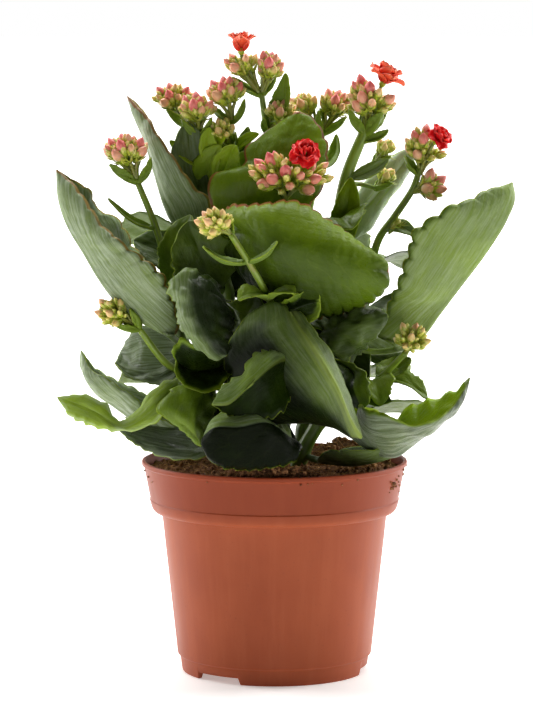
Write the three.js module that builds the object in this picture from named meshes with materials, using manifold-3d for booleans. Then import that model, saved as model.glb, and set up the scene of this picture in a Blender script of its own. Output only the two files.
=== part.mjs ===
// Potted kalanchoe: a flowering house plant in a plastic nursery pot, filled with peat.
// Millimetres, +Z up, the plant's front towards -Y. It is laid out round the pot's axis, and then moved so
// that the origin is the middle of the box round the whole plant, on the plane that it stands on.
import * as THREE from 'three';
import { mergeVertices } from 'three/addons/utils/BufferGeometryUtils.js';
import Module from 'manifold-3d';

const wasm = await Module();
wasm.setup();

// ---- driving dimensions ----
const clearance = 0.3; // kept between two separate pieces

const pot = {
  height: 96,
  rimRadius: 60,
  bandHeight: 23, // the wide band round the top
  bandFootRadius: 55.5,
  wallTopRadius: 51,
  wallFootRadius: 44,
  footRadius: 42,
  footHeight: 8,
  wall: 1.2,
  floorHeight: 4, // underside of the raised floor
  sides: 28,
};
const footNotches = { angles: [-128, -8, 112], width: 26, height: 3.2, depth: 16 };
const drainHoles = { count: 5, radius: 4, ring: 24, sides: 10 };
const soilLevel = 92.5;
const soilSides = 18;
const rimLip = 1.7; // width of the rim's flat top

const bladeThickness = 1.0;
const petalThickness = 0.7;
const petioleRadius = 1.7;
const petioleThickness = 2.9;

// ---- colours ----
const finish = (color, roughness) => new THREE.MeshStandardMaterial({ color, roughness, metalness: 0 });
const potPlastic = finish(0xa8583c, 0.45);
const peat = finish(0x4a3222, 0.95);
const leafGreen = finish(0x4f7a25, 0.4);
const sprayGreen = finish(0x8fa545, 0.5);
const petalRed = finish(0xd9181c, 0.5);

// ---- small helpers ----
const vec = (p) => new THREE.Vector3(...p);
const radians = THREE.MathUtils.degToRad;
const clamp = (value) => Math.max(0, Math.min(1, value));

function solidOf(geometry) {
  const bare = geometry.clone();
  bare.deleteAttribute('normal');
  bare.deleteAttribute('uv');
  const merged = mergeVertices(bare, 1e-4);
  return new wasm.Manifold(
    new wasm.Mesh({
      numProp: 3,
      vertProperties: merged.attributes.position.array,
      triVerts: new Uint32Array(merged.index.array),
    }),
  );
}

function pieceOf(name, solid, material) {
  const mesh = solid.getMesh();
  const geometry = new THREE.BufferGeometry();
  geometry.setAttribute('position', new THREE.BufferAttribute(mesh.vertProperties, 3));
  geometry.setIndex(new THREE.BufferAttribute(mesh.triVerts, 1));
  geometry.computeVertexNormals();
  const piece = new THREE.Mesh(geometry, material);
  piece.name = name;
  return piece;
}

const joined = (solids) => solids.reduce((whole, next) => whole.add(next));

// Only the largest body of a solid: loose scraps that a cut leaves behind are dropped.
const largestBody = (solid) =>
  solid.decompose().reduce((largest, body) => (body.volume() > largest.volume() ? body : largest));

// A profile of [radius, height] turned about the Z axis.
function turned(profile, sides, phase = 0) {
  const points = profile.map(([radius, height]) => new THREE.Vector2(radius, height));
  return new THREE.LatheGeometry(points, sides, phase).rotateX(Math.PI / 2);
}

// A round rod bent along a curve, its radius running from one end's to the other's.
function rod(curve, startRadius, endRadius, sides, steps) {
  const geometry = new THREE.CylinderGeometry(1, 1, 1, sides, steps);
  const position = geometry.attributes.position;
  const frames = curve.computeFrenetFrames(steps, false);
  for (let i = 0; i < position.count; i++) {
    const along = position.getY(i) + 0.5;
    const step = Math.round(along * steps);
    const radius = startRadius + (endRadius - startRadius) * along;
    const centre = curve.getPointAt(along);
    centre.addScaledVector(frames.normals[step], position.getZ(i) * radius);
    centre.addScaledVector(frames.binormals[step], position.getX(i) * radius);
    position.setXYZ(i, centre.x, centre.y, centre.z);
  }
  return solidOf(geometry);
}

// A thin closed solid over a grid of rows and columns. pointAt(row, column, face) gives a corner,
// face being 1 on the upper side and -1 on the lower. Both sides are split into the same triangles.
function thinSolid(rows, columns, pointAt) {
  const corners = [];
  for (const face of [1, -1]) {
    for (let row = 0; row <= rows; row++) {
      for (let column = 0; column <= columns; column++) corners.push(pointAt(row, column, face));
    }
  }
  const perSide = (rows + 1) * (columns + 1);
  const upper = (row, column) => row * (columns + 1) + column;
  const triangles = [];
  for (let row = 0; row < rows; row++) {
    for (let column = 0; column < columns; column++) {
      const a = upper(row, column);
      const b = upper(row, column + 1);
      const c = upper(row + 1, column + 1);
      const d = upper(row + 1, column);
      triangles.push(a, b, c, a, c, d);
      triangles.push(a + perSide, c + perSide, b + perSide, a + perSide, d + perSide, c + perSide);
    }
  }
  const edge = [];
  for (let column = 0; column < columns; column++) edge.push(upper(0, column));
  for (let row = 0; row < rows; row++) edge.push(upper(row, columns));
  for (let column = columns; column > 0; column--) edge.push(upper(rows, column));
  for (let row = rows; row > 0; row--) edge.push(upper(row, 0));
  edge.forEach((p, i) => {
    const q = edge[(i + 1) % edge.length];
    triangles.push(q, p, p + perSide, q, p + perSide, q + perSide);
  });
  const geometry = new THREE.BufferGeometry().setFromPoints(corners);
  geometry.setIndex(triangles);
  return solidOf(geometry);
}

// ---- pot ----
function makePot() {
  const { height, rimRadius, bandHeight, bandFootRadius, wallTopRadius, wallFootRadius } = pot;
  const { footRadius, footHeight, wall, floorHeight, sides } = pot;
  const bandFoot = height - bandHeight;
  const outside = [
    [0, floorHeight],
    [footRadius - 2.6, floorHeight],
    [footRadius - 2.6, 0],
    [footRadius - 0.2, 0],
    [footRadius + 1, footHeight - 0.8],
    [wallFootRadius, footHeight],
    [wallTopRadius, bandFoot],
    [bandFootRadius - 1.5, bandFoot],
    [bandFootRadius, bandFoot + 1.8],
    [rimRadius - 0.7, height - 2.6],
    [rimRadius, height - 1.8],
    [rimRadius, height],
  ];
  const inside = [
    [rimRadius - rimLip, height],
    [bandFootRadius - 1.5 - 0.6 * wall, bandFoot + wall],
    [wallTopRadius - wall, bandFoot + wall],
    [wallFootRadius - wall, footHeight],
    [footRadius - 2, floorHeight + wall],
    [0, floorHeight + wall],
  ];
  let body = solidOf(turned([...outside, ...inside], sides));
  for (const angle of footNotches.angles) {
    const cutter = new THREE.BoxGeometry(footNotches.depth, footNotches.width, 2 * footNotches.height);
    cutter.translate(footRadius, 0, 0).rotateZ(radians(angle));
    body = body.subtract(solidOf(cutter));
  }
  for (let i = 0; i < drainHoles.count; i++) {
    const { radius, ring, count } = drainHoles;
    const cutter = new THREE.CylinderGeometry(radius, radius, 4 * wall, drainHoles.sides);
    cutter.rotateX(Math.PI / 2).translate(ring, 0, floorHeight);
    cutter.rotateZ(radians((360 / count) * i));
    body = body.subtract(solidOf(cutter));
  }
  return body;
}

// ---- soil: level near the left rim, heaped at the front and at the back right ----
function soilHeight(x, y) {
  const heap = (cx, cy, spread, rise) => rise * Math.exp(-((x - cx) ** 2 + (y - cy) ** 2) / spread ** 2);
  const crumbs = 0.7 * Math.sin(0.31 * x + 1) * Math.cos(0.37 * y) + 0.5 * Math.sin(0.55 * x - 0.48 * y);
  return soilLevel + heap(2, -52, 20, 4.5) + heap(34, 40, 17, 7) + heap(46, -22, 14, 2) + crumbs;
}

function makeSoil(shootStems) {
  const { bandFootRadius, wallTopRadius, wallFootRadius, footHeight, wall, height, bandHeight } = pot;
  const bandFoot = height - bandHeight;
  const inset = wall + clearance + 0.25; // the flats of the pot's sides come nearer than their corners
  const topRadius = pot.rimRadius - rimLip - 1.9; // clear of the rim's inner side
  const profile = [
    [0, pot.floorHeight + wall + clearance],
    [pot.footRadius - 3.5, pot.floorHeight + wall + clearance],
    [wallFootRadius - inset - 0.2, footHeight + 0.4],
    [wallTopRadius - inset, bandFoot + wall],
    [bandFootRadius - inset, bandFoot + 5],
    [topRadius, soilLevel - 2],
    [0.88 * topRadius, soilLevel],
    [0.5 * topRadius, soilLevel],
    [0, soilLevel],
  ];
  const geometry = turned(profile, soilSides);
  const position = geometry.attributes.position;
  for (let i = 0; i < position.count; i++) {
    const [x, y, z] = [position.getX(i), position.getY(i), position.getZ(i)];
    if (z >= soilLevel - 0.01) position.setZ(i, soilHeight(x, y));
  }
  return shootStems.reduce((soil, stem) => soil.subtract(stem), solidOf(geometry));
}

// ---- leafy shoots: the axis of each stem, from its foot in the soil to its top ----
const shoots = {
  left: { axis: [[-15, -2, 72], [-20, -3, 96], [-34, -6, 128], [-44, -9, 160], [-47, -10, 180]] },
  frontLeft: { axis: [[-6, -11, 72], [-8, -12, 96], [-14, -15, 130], [-20, -18, 165], [-23, -19, 188]] },
  centre: { axis: [[-1, 4, 72], [0, 4, 96], [2, 3, 130], [3, 2, 165], [3, 0, 193]] },
  front: { axis: [[3, -21, 72], [3, -22, 96], [4, -23, 118], [4, -24, 137]] },
  right: { axis: [[9, -6, 72], [11, -8, 96], [22, -10, 118], [34, -8, 145], [42, -4, 175]] },
  backRight: { axis: [[9, 14, 72], [11, 14, 96], [19, 11, 130], [25, 7, 170], [28, 3, 198]] },
  backLeft: { axis: [[-12, 14, 72], [-13, 15, 96], [-17, 16, 140], [-22, 15, 180], [-25, 14, 203]] },
  back: { axis: [[-1, 28, 72], [0, 30, 96], [4, 33, 140], [10, 35, 180], [15, 35, 203]] },
};
const shootRadius = { foot: 3.5, top: 2.4 };
const shootSides = 6;
const shootSteps = 5;

for (const shoot of Object.values(shoots)) {
  shoot.curve = new THREE.CatmullRomCurve3(shoot.axis.map(vec));
  shoot.solid = (extra) => {
    const { foot, top } = shootRadius;
    return rod(shoot.curve, foot + extra, top + extra, shootSides, shootSteps);
  };
}

// The point of a shoot's axis at a height.
function axisPoint(shoot, height) {
  const points = shoots[shoot].curve.getSpacedPoints(120);
  return points.reduce((best, p) => (Math.abs(p.z - height) < Math.abs(best.z - height) ? p : best));
}

// ---- leaves ----
// A leaf leaves its shoot at a height and runs in an arc pulled towards via, to its tip. face is where
// its upper side looks, at its foot and, where it twists, at its tip. fold is how far each half, left
// and right of the midrib, is raised at the midrib in degrees, and curl how far it turns on to the
// margin. foldFrom is how far along the blade the whole fold is reached, and skew how much wider the
// right half is than the left.
const bladeDefaults = {
  fold: [15, 15], curl: [0, 0], foldFrom: 0.125, lobes: 5, strips: 4, petiole: 0.17, shoulder: 0.86,
  skew: 0,
};
const leaf = (shoot, at, via, tip, more) => ({ ...bladeDefaults, shoot, at, via, tip, ...more });
const smallLeaf = (shoot, at, via, tip, more) =>
  leaf(shoot, at, via, tip, { strips: 2, lobes: 3, ...more });

const leaves = [
  // left shoot
  leaf('left', 148, [-94, -18, 181], [-97, -15, 229], {
    face: [0.8, -0.35, 0.45], width: 54, fold: [58, 50], lobes: 6,
  }),
  smallLeaf('left', 140, [-60, -12, 155], [-72, -14, 149], {
    face: [-0.1, -0.75, 0.65], width: 36, fold: [25, 25],
  }),
  leaf('left', 108, [-82, -22, 106], [-88, -20, 150], {
    face: [0.6, -0.35, 0.7], width: 36, fold: [55, 55], strips: 2, lobes: 4,
  }),
  leaf('left', 128, [-68, -54, 98], [-97, -42, 130], {
    face: [-0.5, 0.7, 0.5], faceTip: [0.2, -0.6, 0.77], width: 28, strips: 2, lobes: 4,
  }),
  leaf('left', 100, [-51, -30, 94], [-72, -34, 114], {
    face: [0.2, -0.5, 0.85], width: 44, fold: [30, 30], strips: 2, lobes: 4,
  }),
  smallLeaf('left', 165, [-46, -24, 186], [-37, -22, 208], { face: [-0.6, -0.6, 0.4], width: 24 }),
  smallLeaf('left', 110, [-50, 20, 118], [-64, 32, 106], { face: [-0.2, 0.2, 0.95], width: 38 }),
  // front left shoot
  leaf('frontLeft', 187, [4, -57, 200], [50, -42, 180], {
    face: [0, -0.97, 0.25], width: 64, fold: [0, -15], curl: [-8, -50], lobes: 7, petiole: 0.02,
    shoulder: 0.5,
  }),
  leaf('frontLeft', 175, [-46, -56, 191], [-31, -51, 147], {
    face: [-0.45, -0.75, 0.5], width: 38, fold: [-15, -15], curl: [-20, -20], lobes: 4,
  }),
  smallLeaf('frontLeft', 172, [-30, -30, 180], [-38, -34, 206], { face: [0.2, -0.9, 0.1], width: 36 }),
  smallLeaf('frontLeft', 128, [-30, -40, 136], [-32, -48, 106], {
    face: [-0.2, -0.7, 0.6], width: 34, fold: [-10, -10], curl: [-15, -15],
  }),
  leaf('frontLeft', 145, [-36, -42, 156], [-37, -45, 130], {
    face: [-0.1, -0.9, 0.3], width: 36, fold: [25, 25], curl: [20, 20], lobes: 4,
  }),
  smallLeaf('frontLeft', 160, [-14, -34, 156], [-8, -38, 174], { face: [0, -0.9, 0.4], width: 24 }),
  // centre shoot
  leaf('centre', 183, [-15, -16, 224], [11, -8, 253], {
    face: [-0.1, -0.95, 0.25], width: 56, fold: [5, 5], strips: 2,
  }),
  smallLeaf('centre', 160, [18, -24, 170], [24, -36, 158], { face: [0, -0.8, 0.6], width: 24 }),
  leaf('centre', 156, [30, -28, 171], [50, -30, 150], {
    face: [0.1, -0.92, 0.4], width: 38, fold: [-10, -10], curl: [-20, -20], lobes: 4,
  }),
  // front shoot
  leaf('front', 124, [4, -68, 220], [38, -66, 110], {
    face: [-0.61, 0.72, 0.34], faceTip: [0.53, -0.84, 0.15], width: 66, skew: 0.34, fold: [-45, -32],
    curl: [-10, 10], foldFrom: 0.8, lobes: 6, petiole: 0.3,
  }),
  leaf('front', 130, [-8, -48, 150], [-28, -56, 128], {
    face: [-0.2, -0.8, 0.4], width: 34, fold: [0, 60], lobes: 4,
  }),
  leaf('front', 116, [-12, -54, 138], [-10, -56, 99], {
    face: [-0.1, -0.2, 0.97], faceTip: [0, -0.95, 0.1], width: 44, fold: [-8, -8], petiole: 0.3, lobes: 4,
  }),
  // right shoot
  leaf('right', 148, [100, -8, 163], [108, -5, 222], {
    face: [-0.75, -0.15, 0.6], width: 78, fold: [62, 62], lobes: 7,
  }),
  leaf('right', 116, [60, -40, 84], [88, -28, 137], {
    face: [-0.4, -0.2, 0.9], width: 42, fold: [55, 55], lobes: 4,
  }),
  smallLeaf('right', 99, [36, -28, 93], [57, -34, 104], {
    face: [-0.1, 0.1, 0.99], width: 26, fold: [35, 35],
  }),
  // back right shoot
  smallLeaf('backRight', 190, [26, -14, 214], [34, -27, 202], { face: [0, -0.6, 0.8], width: 28 }),
  smallLeaf('backRight', 182, [32, -14, 200], [34, -10, 224], { face: [-0.2, -0.9, 0.2], width: 14 }),
  leaf('backRight', 150, [52, 26, 168], [62, 36, 152], {
    face: [0.1, 0.3, 0.95], width: 44, fold: [20, 20], strips: 2, lobes: 3,
  }),
  leaf('backRight', 125, [40, 50, 130], [62, 66, 126], {
    face: [0, 0.1, 0.99], width: 40, fold: [25, 25], strips: 2, lobes: 3,
  }),
  smallLeaf('backRight', 172, [50, 34, 192], [62, 52, 178], { face: [0.2, 0.3, 0.9], width: 42 }),
  smallLeaf('backRight', 138, [44, 34, 156], [56, 50, 132], { face: [0.2, 0.8, 0.5], width: 42 }),
  smallLeaf('backRight', 108, [56, 22, 120], [78, 28, 112], { face: [0, 0.1, 0.99], width: 38 }),
  // back left shoot
  leaf('backLeft', 180, [-56, 14, 215], [-66, 15, 259], {
    face: [0.85, -0.35, 0.35], width: 36, fold: [60, 60], lobes: 6,
  }),
  smallLeaf('backLeft', 188, [-37, 4, 218], [-39, 2, 248], { face: [0.1, -0.9, 0.3], width: 26 }),
  smallLeaf('backLeft', 172, [-44, 16, 186], [-64, 12, 194], { face: [0, -0.7, 0.7], width: 28 }),
  leaf('backLeft', 160, [-50, 46, 178], [-64, 58, 160], {
    face: [-0.1, 0.3, 0.95], width: 44, fold: [20, 20], strips: 2, lobes: 3,
  }),
  leaf('backLeft', 125, [-48, 34, 130], [-72, 42, 126], {
    face: [0, 0.1, 0.99], width: 40, fold: [25, 25], strips: 2, lobes: 3,
  }),
  smallLeaf('backLeft', 176, [-52, 40, 205], [-70, 48, 190], { face: [-0.3, 0.5, 0.8], width: 42 }),
  smallLeaf('backLeft', 104, [-32, 50, 112], [-38, 64, 98], { face: [0, 0.1, 0.99], width: 36 }),
  // back shoot
  smallLeaf('back', 190, [40, 30, 206], [64, 30, 234], {
    face: [-0.5, -0.35, 0.8], width: 30, fold: [50, 50],
  }),
  leaf('back', 184, [4, 68, 200], [0, 79, 178], {
    face: [0, 0.5, 0.86], width: 48, fold: [10, 10], strips: 2, lobes: 3,
  }),
  smallLeaf('back', 172, [24, 62, 196], [36, 72, 172], { face: [0.2, 0.6, 0.78], width: 46 }),
  smallLeaf('back', 164, [-18, 62, 186], [-30, 72, 162], { face: [-0.2, 0.6, 0.78], width: 46 }),
  smallLeaf('back', 140, [-4, 60, 164], [-8, 64, 138], { face: [0, 0.8, 0.6], width: 42 }),
  smallLeaf('back', 112, [6, 60, 126], [4, 78, 104], { face: [0, 0.5, 0.86], width: 44 }),
  leaf('back', 145, [26, 64, 152], [25, 79, 142], {
    face: [0.1, 0.3, 0.95], width: 42, fold: [25, 25], strips: 2, lobes: 3,
  }),
  leaf('back', 130, [-23, 62, 136], [-28, 77, 132], {
    face: [0, 0.2, 0.97], width: 42, fold: [25, 25], strips: 2, lobes: 3,
  }),
];

// Half of a blade's width, as a share of its widest half, at r from the blade's foot to its tip.
function outline(r, { lobes, shoulder }) {
  const oval = Math.sin(Math.PI * Math.min(r, 1) ** shoulder) ** 0.6;
  const scallops = 0.12 * (Math.abs(Math.sin(Math.PI * lobes * r)) - 0.6) * Math.min(1, 3 * r);
  return Math.max(oval * (1 + scallops), 0.04);
}

// The surface of a leaf: a function of s, along the midrib, and u, from its left margin at -1 to its right
// one at 1.
function leafSurface(shape) {
  const midrib = new THREE.QuadraticBezierCurve3(shape.foot, vec(shape.via), vec(shape.tip));
  const footFace = vec(shape.face).normalize();
  const tipFace = vec(shape.faceTip ?? shape.face).normalize();
  return (s, u) => {
    const forward = midrib.getTangent(s);
    const up = footFace.clone().lerp(tipFace, s);
    up.addScaledVector(forward, -up.dot(forward)).normalize();
    const right = forward.clone().cross(up);
    const r = (s - shape.petiole) / (1 - shape.petiole);
    const blade = r > 0 ? (shape.width / 2) * (1 + Math.sign(u) * shape.skew) * outline(r, shape) : 0;
    const reach = Math.max(blade, petioleRadius * Math.min(1, 6 * (1 - s))) * Math.abs(u);
    const half = u < 0 ? 0 : 1;
    const spread = clamp(r / shape.foldFrom) * clamp(8 * (1 - r)); // no fold in the petiole or the very tip
    const lift = radians(shape.fold[half] + (shape.curl[half] * Math.abs(u)) / 2) * spread;
    const slope = radians(shape.fold[half] + shape.curl[half] * Math.abs(u)) * spread;
    const point = midrib.getPoint(s);
    point.addScaledVector(right, Math.sign(u) * reach * Math.cos(lift));
    point.addScaledVector(up, reach * Math.sin(lift));
    const normal = up.clone().multiplyScalar(Math.cos(slope));
    normal.addScaledVector(right, -Math.sign(u) * Math.sin(slope));
    return { point, normal, r };
  };
}

function makeLeaf(shape) {
  const foot = shape.foot ? vec(shape.foot) : axisPoint(shape.shoot, shape.at);
  const surface = leafSurface({ ...shape, foot });
  const { petiole, lobes, strips } = shape;
  const rows = [0, petiole];
  for (let i = 1; i <= 2 * lobes; i++) rows.push(petiole + ((1 - petiole) * i) / (2 * lobes));
  return thinSolid(rows.length - 1, strips, (row, column, face) => {
    const { point, normal, r } = surface(rows[row], (2 * column) / strips - 1);
    const thickness = r > 0.05 ? bladeThickness : petioleThickness;
    return point.addScaledVector(normal, (face * thickness) / 2);
  });
}

function makeLeafyShoot(name) {
  const own = leaves.filter((shape) => shape.shoot === name);
  return largestBody(joined([shoots[name].solid(0), ...own.map(makeLeaf)]));
}

// ---- sprays: stalks that carry heads of buds ----
// A spray leaves its shoot at a height. Its first stalk passes on through the points of stem, and each
// of its side stalks through points of its own. A head is a dome of buds round its middle, on a stalk's
// end.
const head = (from, middle, reach, buds, budWidth, bloom) => (
  { from, middle, reach, buds, budWidth, bloom }
);
const bract = (foot, via, tip, face, width, more) => ({
  ...bladeDefaults, foot, via, tip, face, width,
  lobes: 2, strips: 2, petiole: 0.05, fold: [20, 20], ...more,
});
const stalkRadius = { foot: 1.9, top: 1.4 };
const stalkSides = 4;
const sideStalkThick = 0.7;

// ---- open blooms: foot is where a bloom sits on its own stalk in a head ----
const blooms = {
  centre_front: { foot: [10, -33, 229], axis: [0.15, -0.45, 0.88], width: 13, height: 9 },
  centre_tall: { foot: [-15, 12, 280], axis: [0.1, -0.1, 1], width: 11.5, height: 9 },
  right_thick: { foot: [48, -1, 265], axis: [0.5, -0.1, 0.85], width: 13.5, height: 9 },
  right_tall: { foot: [71, -6, 240], axis: [0.55, -0.3, 0.75], width: 11.5, height: 9 },
};
const petalLayers = [
  { petals: 5, tilt: 78, length: 0.5, strips: 2 },
  { petals: 3, tilt: 45, length: 0.46, strips: 1 },
];

const sprays = [
  {
    name: 'left_tall', shoot: 'left', at: 180, stem: [[-53, -12, 202], [-61, -12, 222]],
    heads: [head([-61, -12, 222], [-65, -12, 234], [11, 10, 9], 12, 4.8)],
    bracts: [bract([-53, -12, 202], [-64, -14, 202], [-74, -14, 215], [0.2, -0.4, 0.9], 6)],
  },
  {
    name: 'left_low', shoot: 'left', at: 135, stem: [[-48, -22, 142], [-62, -28, 160]],
    heads: [head([-62, -28, 160], [-72, -30, 166], [8, 8, 7], 8, 3.8)],
  },
  {
    name: 'front', shoot: 'front', at: 137,
    stem: [[3, -27, 150], [1, -39, 164], [-6, -50, 180], [-19, -57, 202]],
    heads: [head([-19, -57, 202], [-27, -58, 207], [9, 7, 8], 10, 3.9)],
    bracts: [
      bract([-2, -45, 172], [-9, -52, 180], [-15, -50, 177], [0, -0.3, 0.95], 9),
      bract([-2, -45, 172], [3, -52, 181], [9, -50, 180], [0, -0.3, 0.95], 9),
    ],
  },
  {
    name: 'centre_front', shoot: 'centre', at: 168, stem: [[5, -12, 186], [5, -14, 204], [5, -19, 216]],
    heads: [head([5, -19, 216], [6, -31, 226], [20, 11, 11], 19, 5.2, blooms.centre_front)],
  },
  {
    name: 'centre_tall', shoot: 'centre', at: 192, stem: [[0, 10, 220], [-4, 12, 247], [-6, 12, 262]],
    heads: [
      head([-6, 12, 262], [-16, 12, 271], [8, 7, 8], 8, 4.8, blooms.centre_tall),
      head([-6, 12, 262], [-2, 10, 273], [7, 7, 9], 8, 4.8),
      head([-3, 12, 243], [3, 8, 252], [8, 6, 7], 7, 3.9),
    ],
    bracts: [bract([-4, 12, 250], [4, 10, 254], [5, 9, 268], [-0.6, -0.7, 0.2], 9)],
  },
  {
    name: 'back_left', shoot: 'backLeft', at: 202, stem: [[-28, 12, 214], [-32, 8, 228], [-34, 5, 243]],
    sideStalks: [
      [[-26, 13, 208], [-33, 24, 226], [-41, 26, 248]],
      [[-26, 13, 208], [-21, 12, 228], [-19, 8, 250]],
    ],
    heads: [
      head([-34, 5, 243], [-35, 4, 254], [9, 8, 9], 10, 4.8),
      head([-41, 26, 248], [-46, 23, 259], [10, 8, 8], 9, 4.6),
      head([-19, 8, 250], [-22, 8, 262], [10, 8, 8], 10, 4.9),
      head([-20, 10, 237], [-24, 3, 245], [6, 5, 5], 6, 3.5),
    ],
  },
  {
    name: 'back', shoot: 'back', at: 203, stem: [[20, 32, 228], [22, 30, 244]],
    heads: [
      head([22, 30, 244], [13, 30, 256], [6, 6, 6], 6, 4.5),
      head([22, 30, 244], [27, 28, 256], [9, 7, 8], 8, 4.8),
    ],
  },
  {
    name: 'right_thick', shoot: 'backRight', at: 197, stem: [[32, 0, 223], [41, 0, 246]], thick: 1.4,
    sideStalks: [[[31, 1, 220], [38, 5, 225], [45, 7, 229]], [[31, 1, 220], [39, 8, 220], [46, 10, 218]]],
    heads: [
      head([41, 0, 246], [44, -1, 259], [13, 11, 12], 17, 5.2, blooms.right_thick),
      head([45, 7, 229], [50, 8, 235], [5, 5, 6], 5, 3.7),
      head([46, 10, 218], [51, 12, 222], [5, 5, 5], 5, 3.7),
    ],
  },
  {
    name: 'right_tall', shoot: 'right', at: 174, stem: [[49, -3, 200], [63, -5, 218], [66, -5, 228]],
    heads: [
      head([66, -5, 228], [69, -5, 239], [9, 8, 10], 11, 4.8, blooms.right_tall),
      head([63, -5, 218], [73, -8, 221], [7, 6, 5], 6, 4.8),
    ],
    bracts: [bract([49, -3, 202], [58, 0, 206], [64, 2, 202], [0, -0.7, 0.7], 9)],
  },
  {
    name: 'right_low', shoot: 'right', at: 125, stem: [[38, -15, 129], [46, -18, 134], [58, -25, 147]],
    heads: [head([58, -25, 147], [61, -25, 153], [8, 7, 6], 8, 3.8)],
    bracts: [
      bract([43, -17, 132], [56, -18, 138], [68, -20, 126], [0.1, -0.3, 0.95], 18, { lobes: 3 }),
      bract([42, -17, 131], [44, -28, 140], [47, -30, 124], [0.2, -0.7, 0.6], 18, { lobes: 3 }),
      bract([46, -18, 134], [54, -10, 136], [61, -8, 143], [-0.2, -0.5, 0.8], 16, { lobes: 3 }),
    ],
  },
];

const goldenAngle = Math.PI * (3 - Math.sqrt(5));

// One bud on its own short stalk, from foot to the bud's tip.
function makeBud(foot, tip, width, sides) {
  const length = foot.distanceTo(tip);
  const height = Math.min(1.5 * width, 0.8 * length);
  const profile = [[0, 0], [width / 2, length - 0.55 * height], [0, length]];
  const toTip = tip.clone().sub(foot).normalize();
  const turn = new THREE.Quaternion().setFromUnitVectors(new THREE.Vector3(0, 0, 1), toTip);
  return solidOf(turned(profile, sides).applyQuaternion(turn).translate(foot.x, foot.y, foot.z));
}

// Whether a bud that grows from foot to tip would touch a bloom.
function inBloomsWay(foot, tip, bloom) {
  const centre = vec(bloom.foot).addScaledVector(vec(bloom.axis).normalize(), 0.6 * bloom.height);
  const nearest = new THREE.Line3(foot, tip).closestPointToPoint(centre, true, new THREE.Vector3());
  return nearest.distanceTo(centre) < bloom.width / 2 + 2.2;
}

// A head: buds that stand out of a small core of close branches. They sit on a dome, turned on by the
// golden angle from its top to its skirt.
function makeHead({ from, middle, reach, buds, budWidth, bloom }) {
  const foot = vec(from).lerp(vec(middle), 0.6);
  const upward = foot.clone().sub(vec(from));
  const rise = upward.length();
  const turn = new THREE.Quaternion().setFromUnitVectors(new THREE.Vector3(0, 0, 1), upward.normalize());
  const core = turned([[0, -1.5], [0.42 * Math.min(...reach), 0.9 * rise], [0, 1.5 * rise]], 6);
  core.applyQuaternion(turn).translate(...from);
  const sides = budWidth < 5 ? 3 : 4;
  const solids = [solidOf(core)];
  if (bloom) {
    const seat = vec(bloom.foot).addScaledVector(vec(bloom.axis).normalize(), -clearance);
    solids.push(rod(new THREE.LineCurve3(foot, seat), 0.8, 0.9, 4, 1));
  }
  for (let i = 0; i < buds; i++) {
    const polar = Math.acos(1 - (1.15 * (i + 0.5)) / buds);
    const outward = new THREE.Vector3().setFromSphericalCoords(1, polar, i * goldenAngle);
    const toTip = new THREE.Vector3(outward.x * reach[0], outward.z * reach[1], outward.y * reach[2]);
    const tip = vec(middle).add(toTip);
    if (bloom && inBloomsWay(foot, tip, bloom)) continue;
    solids.push(makeBud(foot, tip, budWidth * (1 - 0.1 * (i % 3)), sides));
  }
  return joined(solids);
}

function makeStalk(points, thick) {
  const curve = new THREE.CatmullRomCurve3(points);
  return rod(curve, thick * stalkRadius.foot, thick * stalkRadius.top, stalkSides, points.length);
}

function makeSpray({ shoot, at, stem, sideStalks = [], heads, bracts = [], thick = 1 }) {
  const whole = joined([
    makeStalk([axisPoint(shoot, at), ...stem.map(vec)], thick),
    ...sideStalks.map((points) => makeStalk(points.map(vec), sideStalkThick)),
    ...heads.map(makeHead),
    ...bracts.map(makeLeaf),
  ]);
  return largestBody(whole.subtract(shoots[shoot].solid(clearance)));
}

// A petal stands out of the bloom's heart at a tilt from its axis, and bends outwards to a cupped tip.
function makePetal({ width, height }, { petals, tilt, length, strips }, angle) {
  const long = length * width;
  const widest = 0.56 * long * Math.sin(radians(tilt)) * Math.sin(Math.PI / petals);
  return thinSolid(2, strips, (row, column, face) => {
    const t = [0.1, 0.62, 1][row];
    const lean = radians(tilt * (0.7 + 0.4 * t));
    const side = 1 - (2 * column) / strips;
    const across = side * [0.4, 1, 0.8][row] * widest;
    const cup = 0.14 * long * t * Math.abs(side);
    const out = long * t * Math.sin(lean) - cup * Math.cos(lean);
    const rise = 0.45 * height + long * t * Math.cos(lean) + cup * Math.sin(lean);
    const point = new THREE.Vector3(out, across, rise);
    const normal = new THREE.Vector3(-Math.cos(lean), 0, Math.sin(lean));
    point.addScaledVector(normal, (face * petalThickness) / 2);
    return point.applyAxisAngle(new THREE.Vector3(0, 0, 1), angle);
  });
}

function makeBloom(bloom) {
  const { foot, axis, width, height } = bloom;
  const heart = turned([[0, 0], [0.9, 0], [0.11 * width, 0.5 * height], [0, 0.72 * height]], 5);
  const solids = [solidOf(heart)];
  petalLayers.forEach((layer, i) => {
    for (let k = 0; k < layer.petals; k++) {
      solids.push(makePetal(bloom, layer, (2 * Math.PI * k) / layer.petals + i * goldenAngle));
    }
  });
  const along = vec(axis).normalize();
  const turn = new THREE.Quaternion().setFromUnitVectors(new THREE.Vector3(0, 0, 1), along);
  const place = new THREE.Matrix4().compose(vec(foot), turn, new THREE.Vector3(1, 1, 1));
  return joined(solids).transform(place.elements);
}

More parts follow.
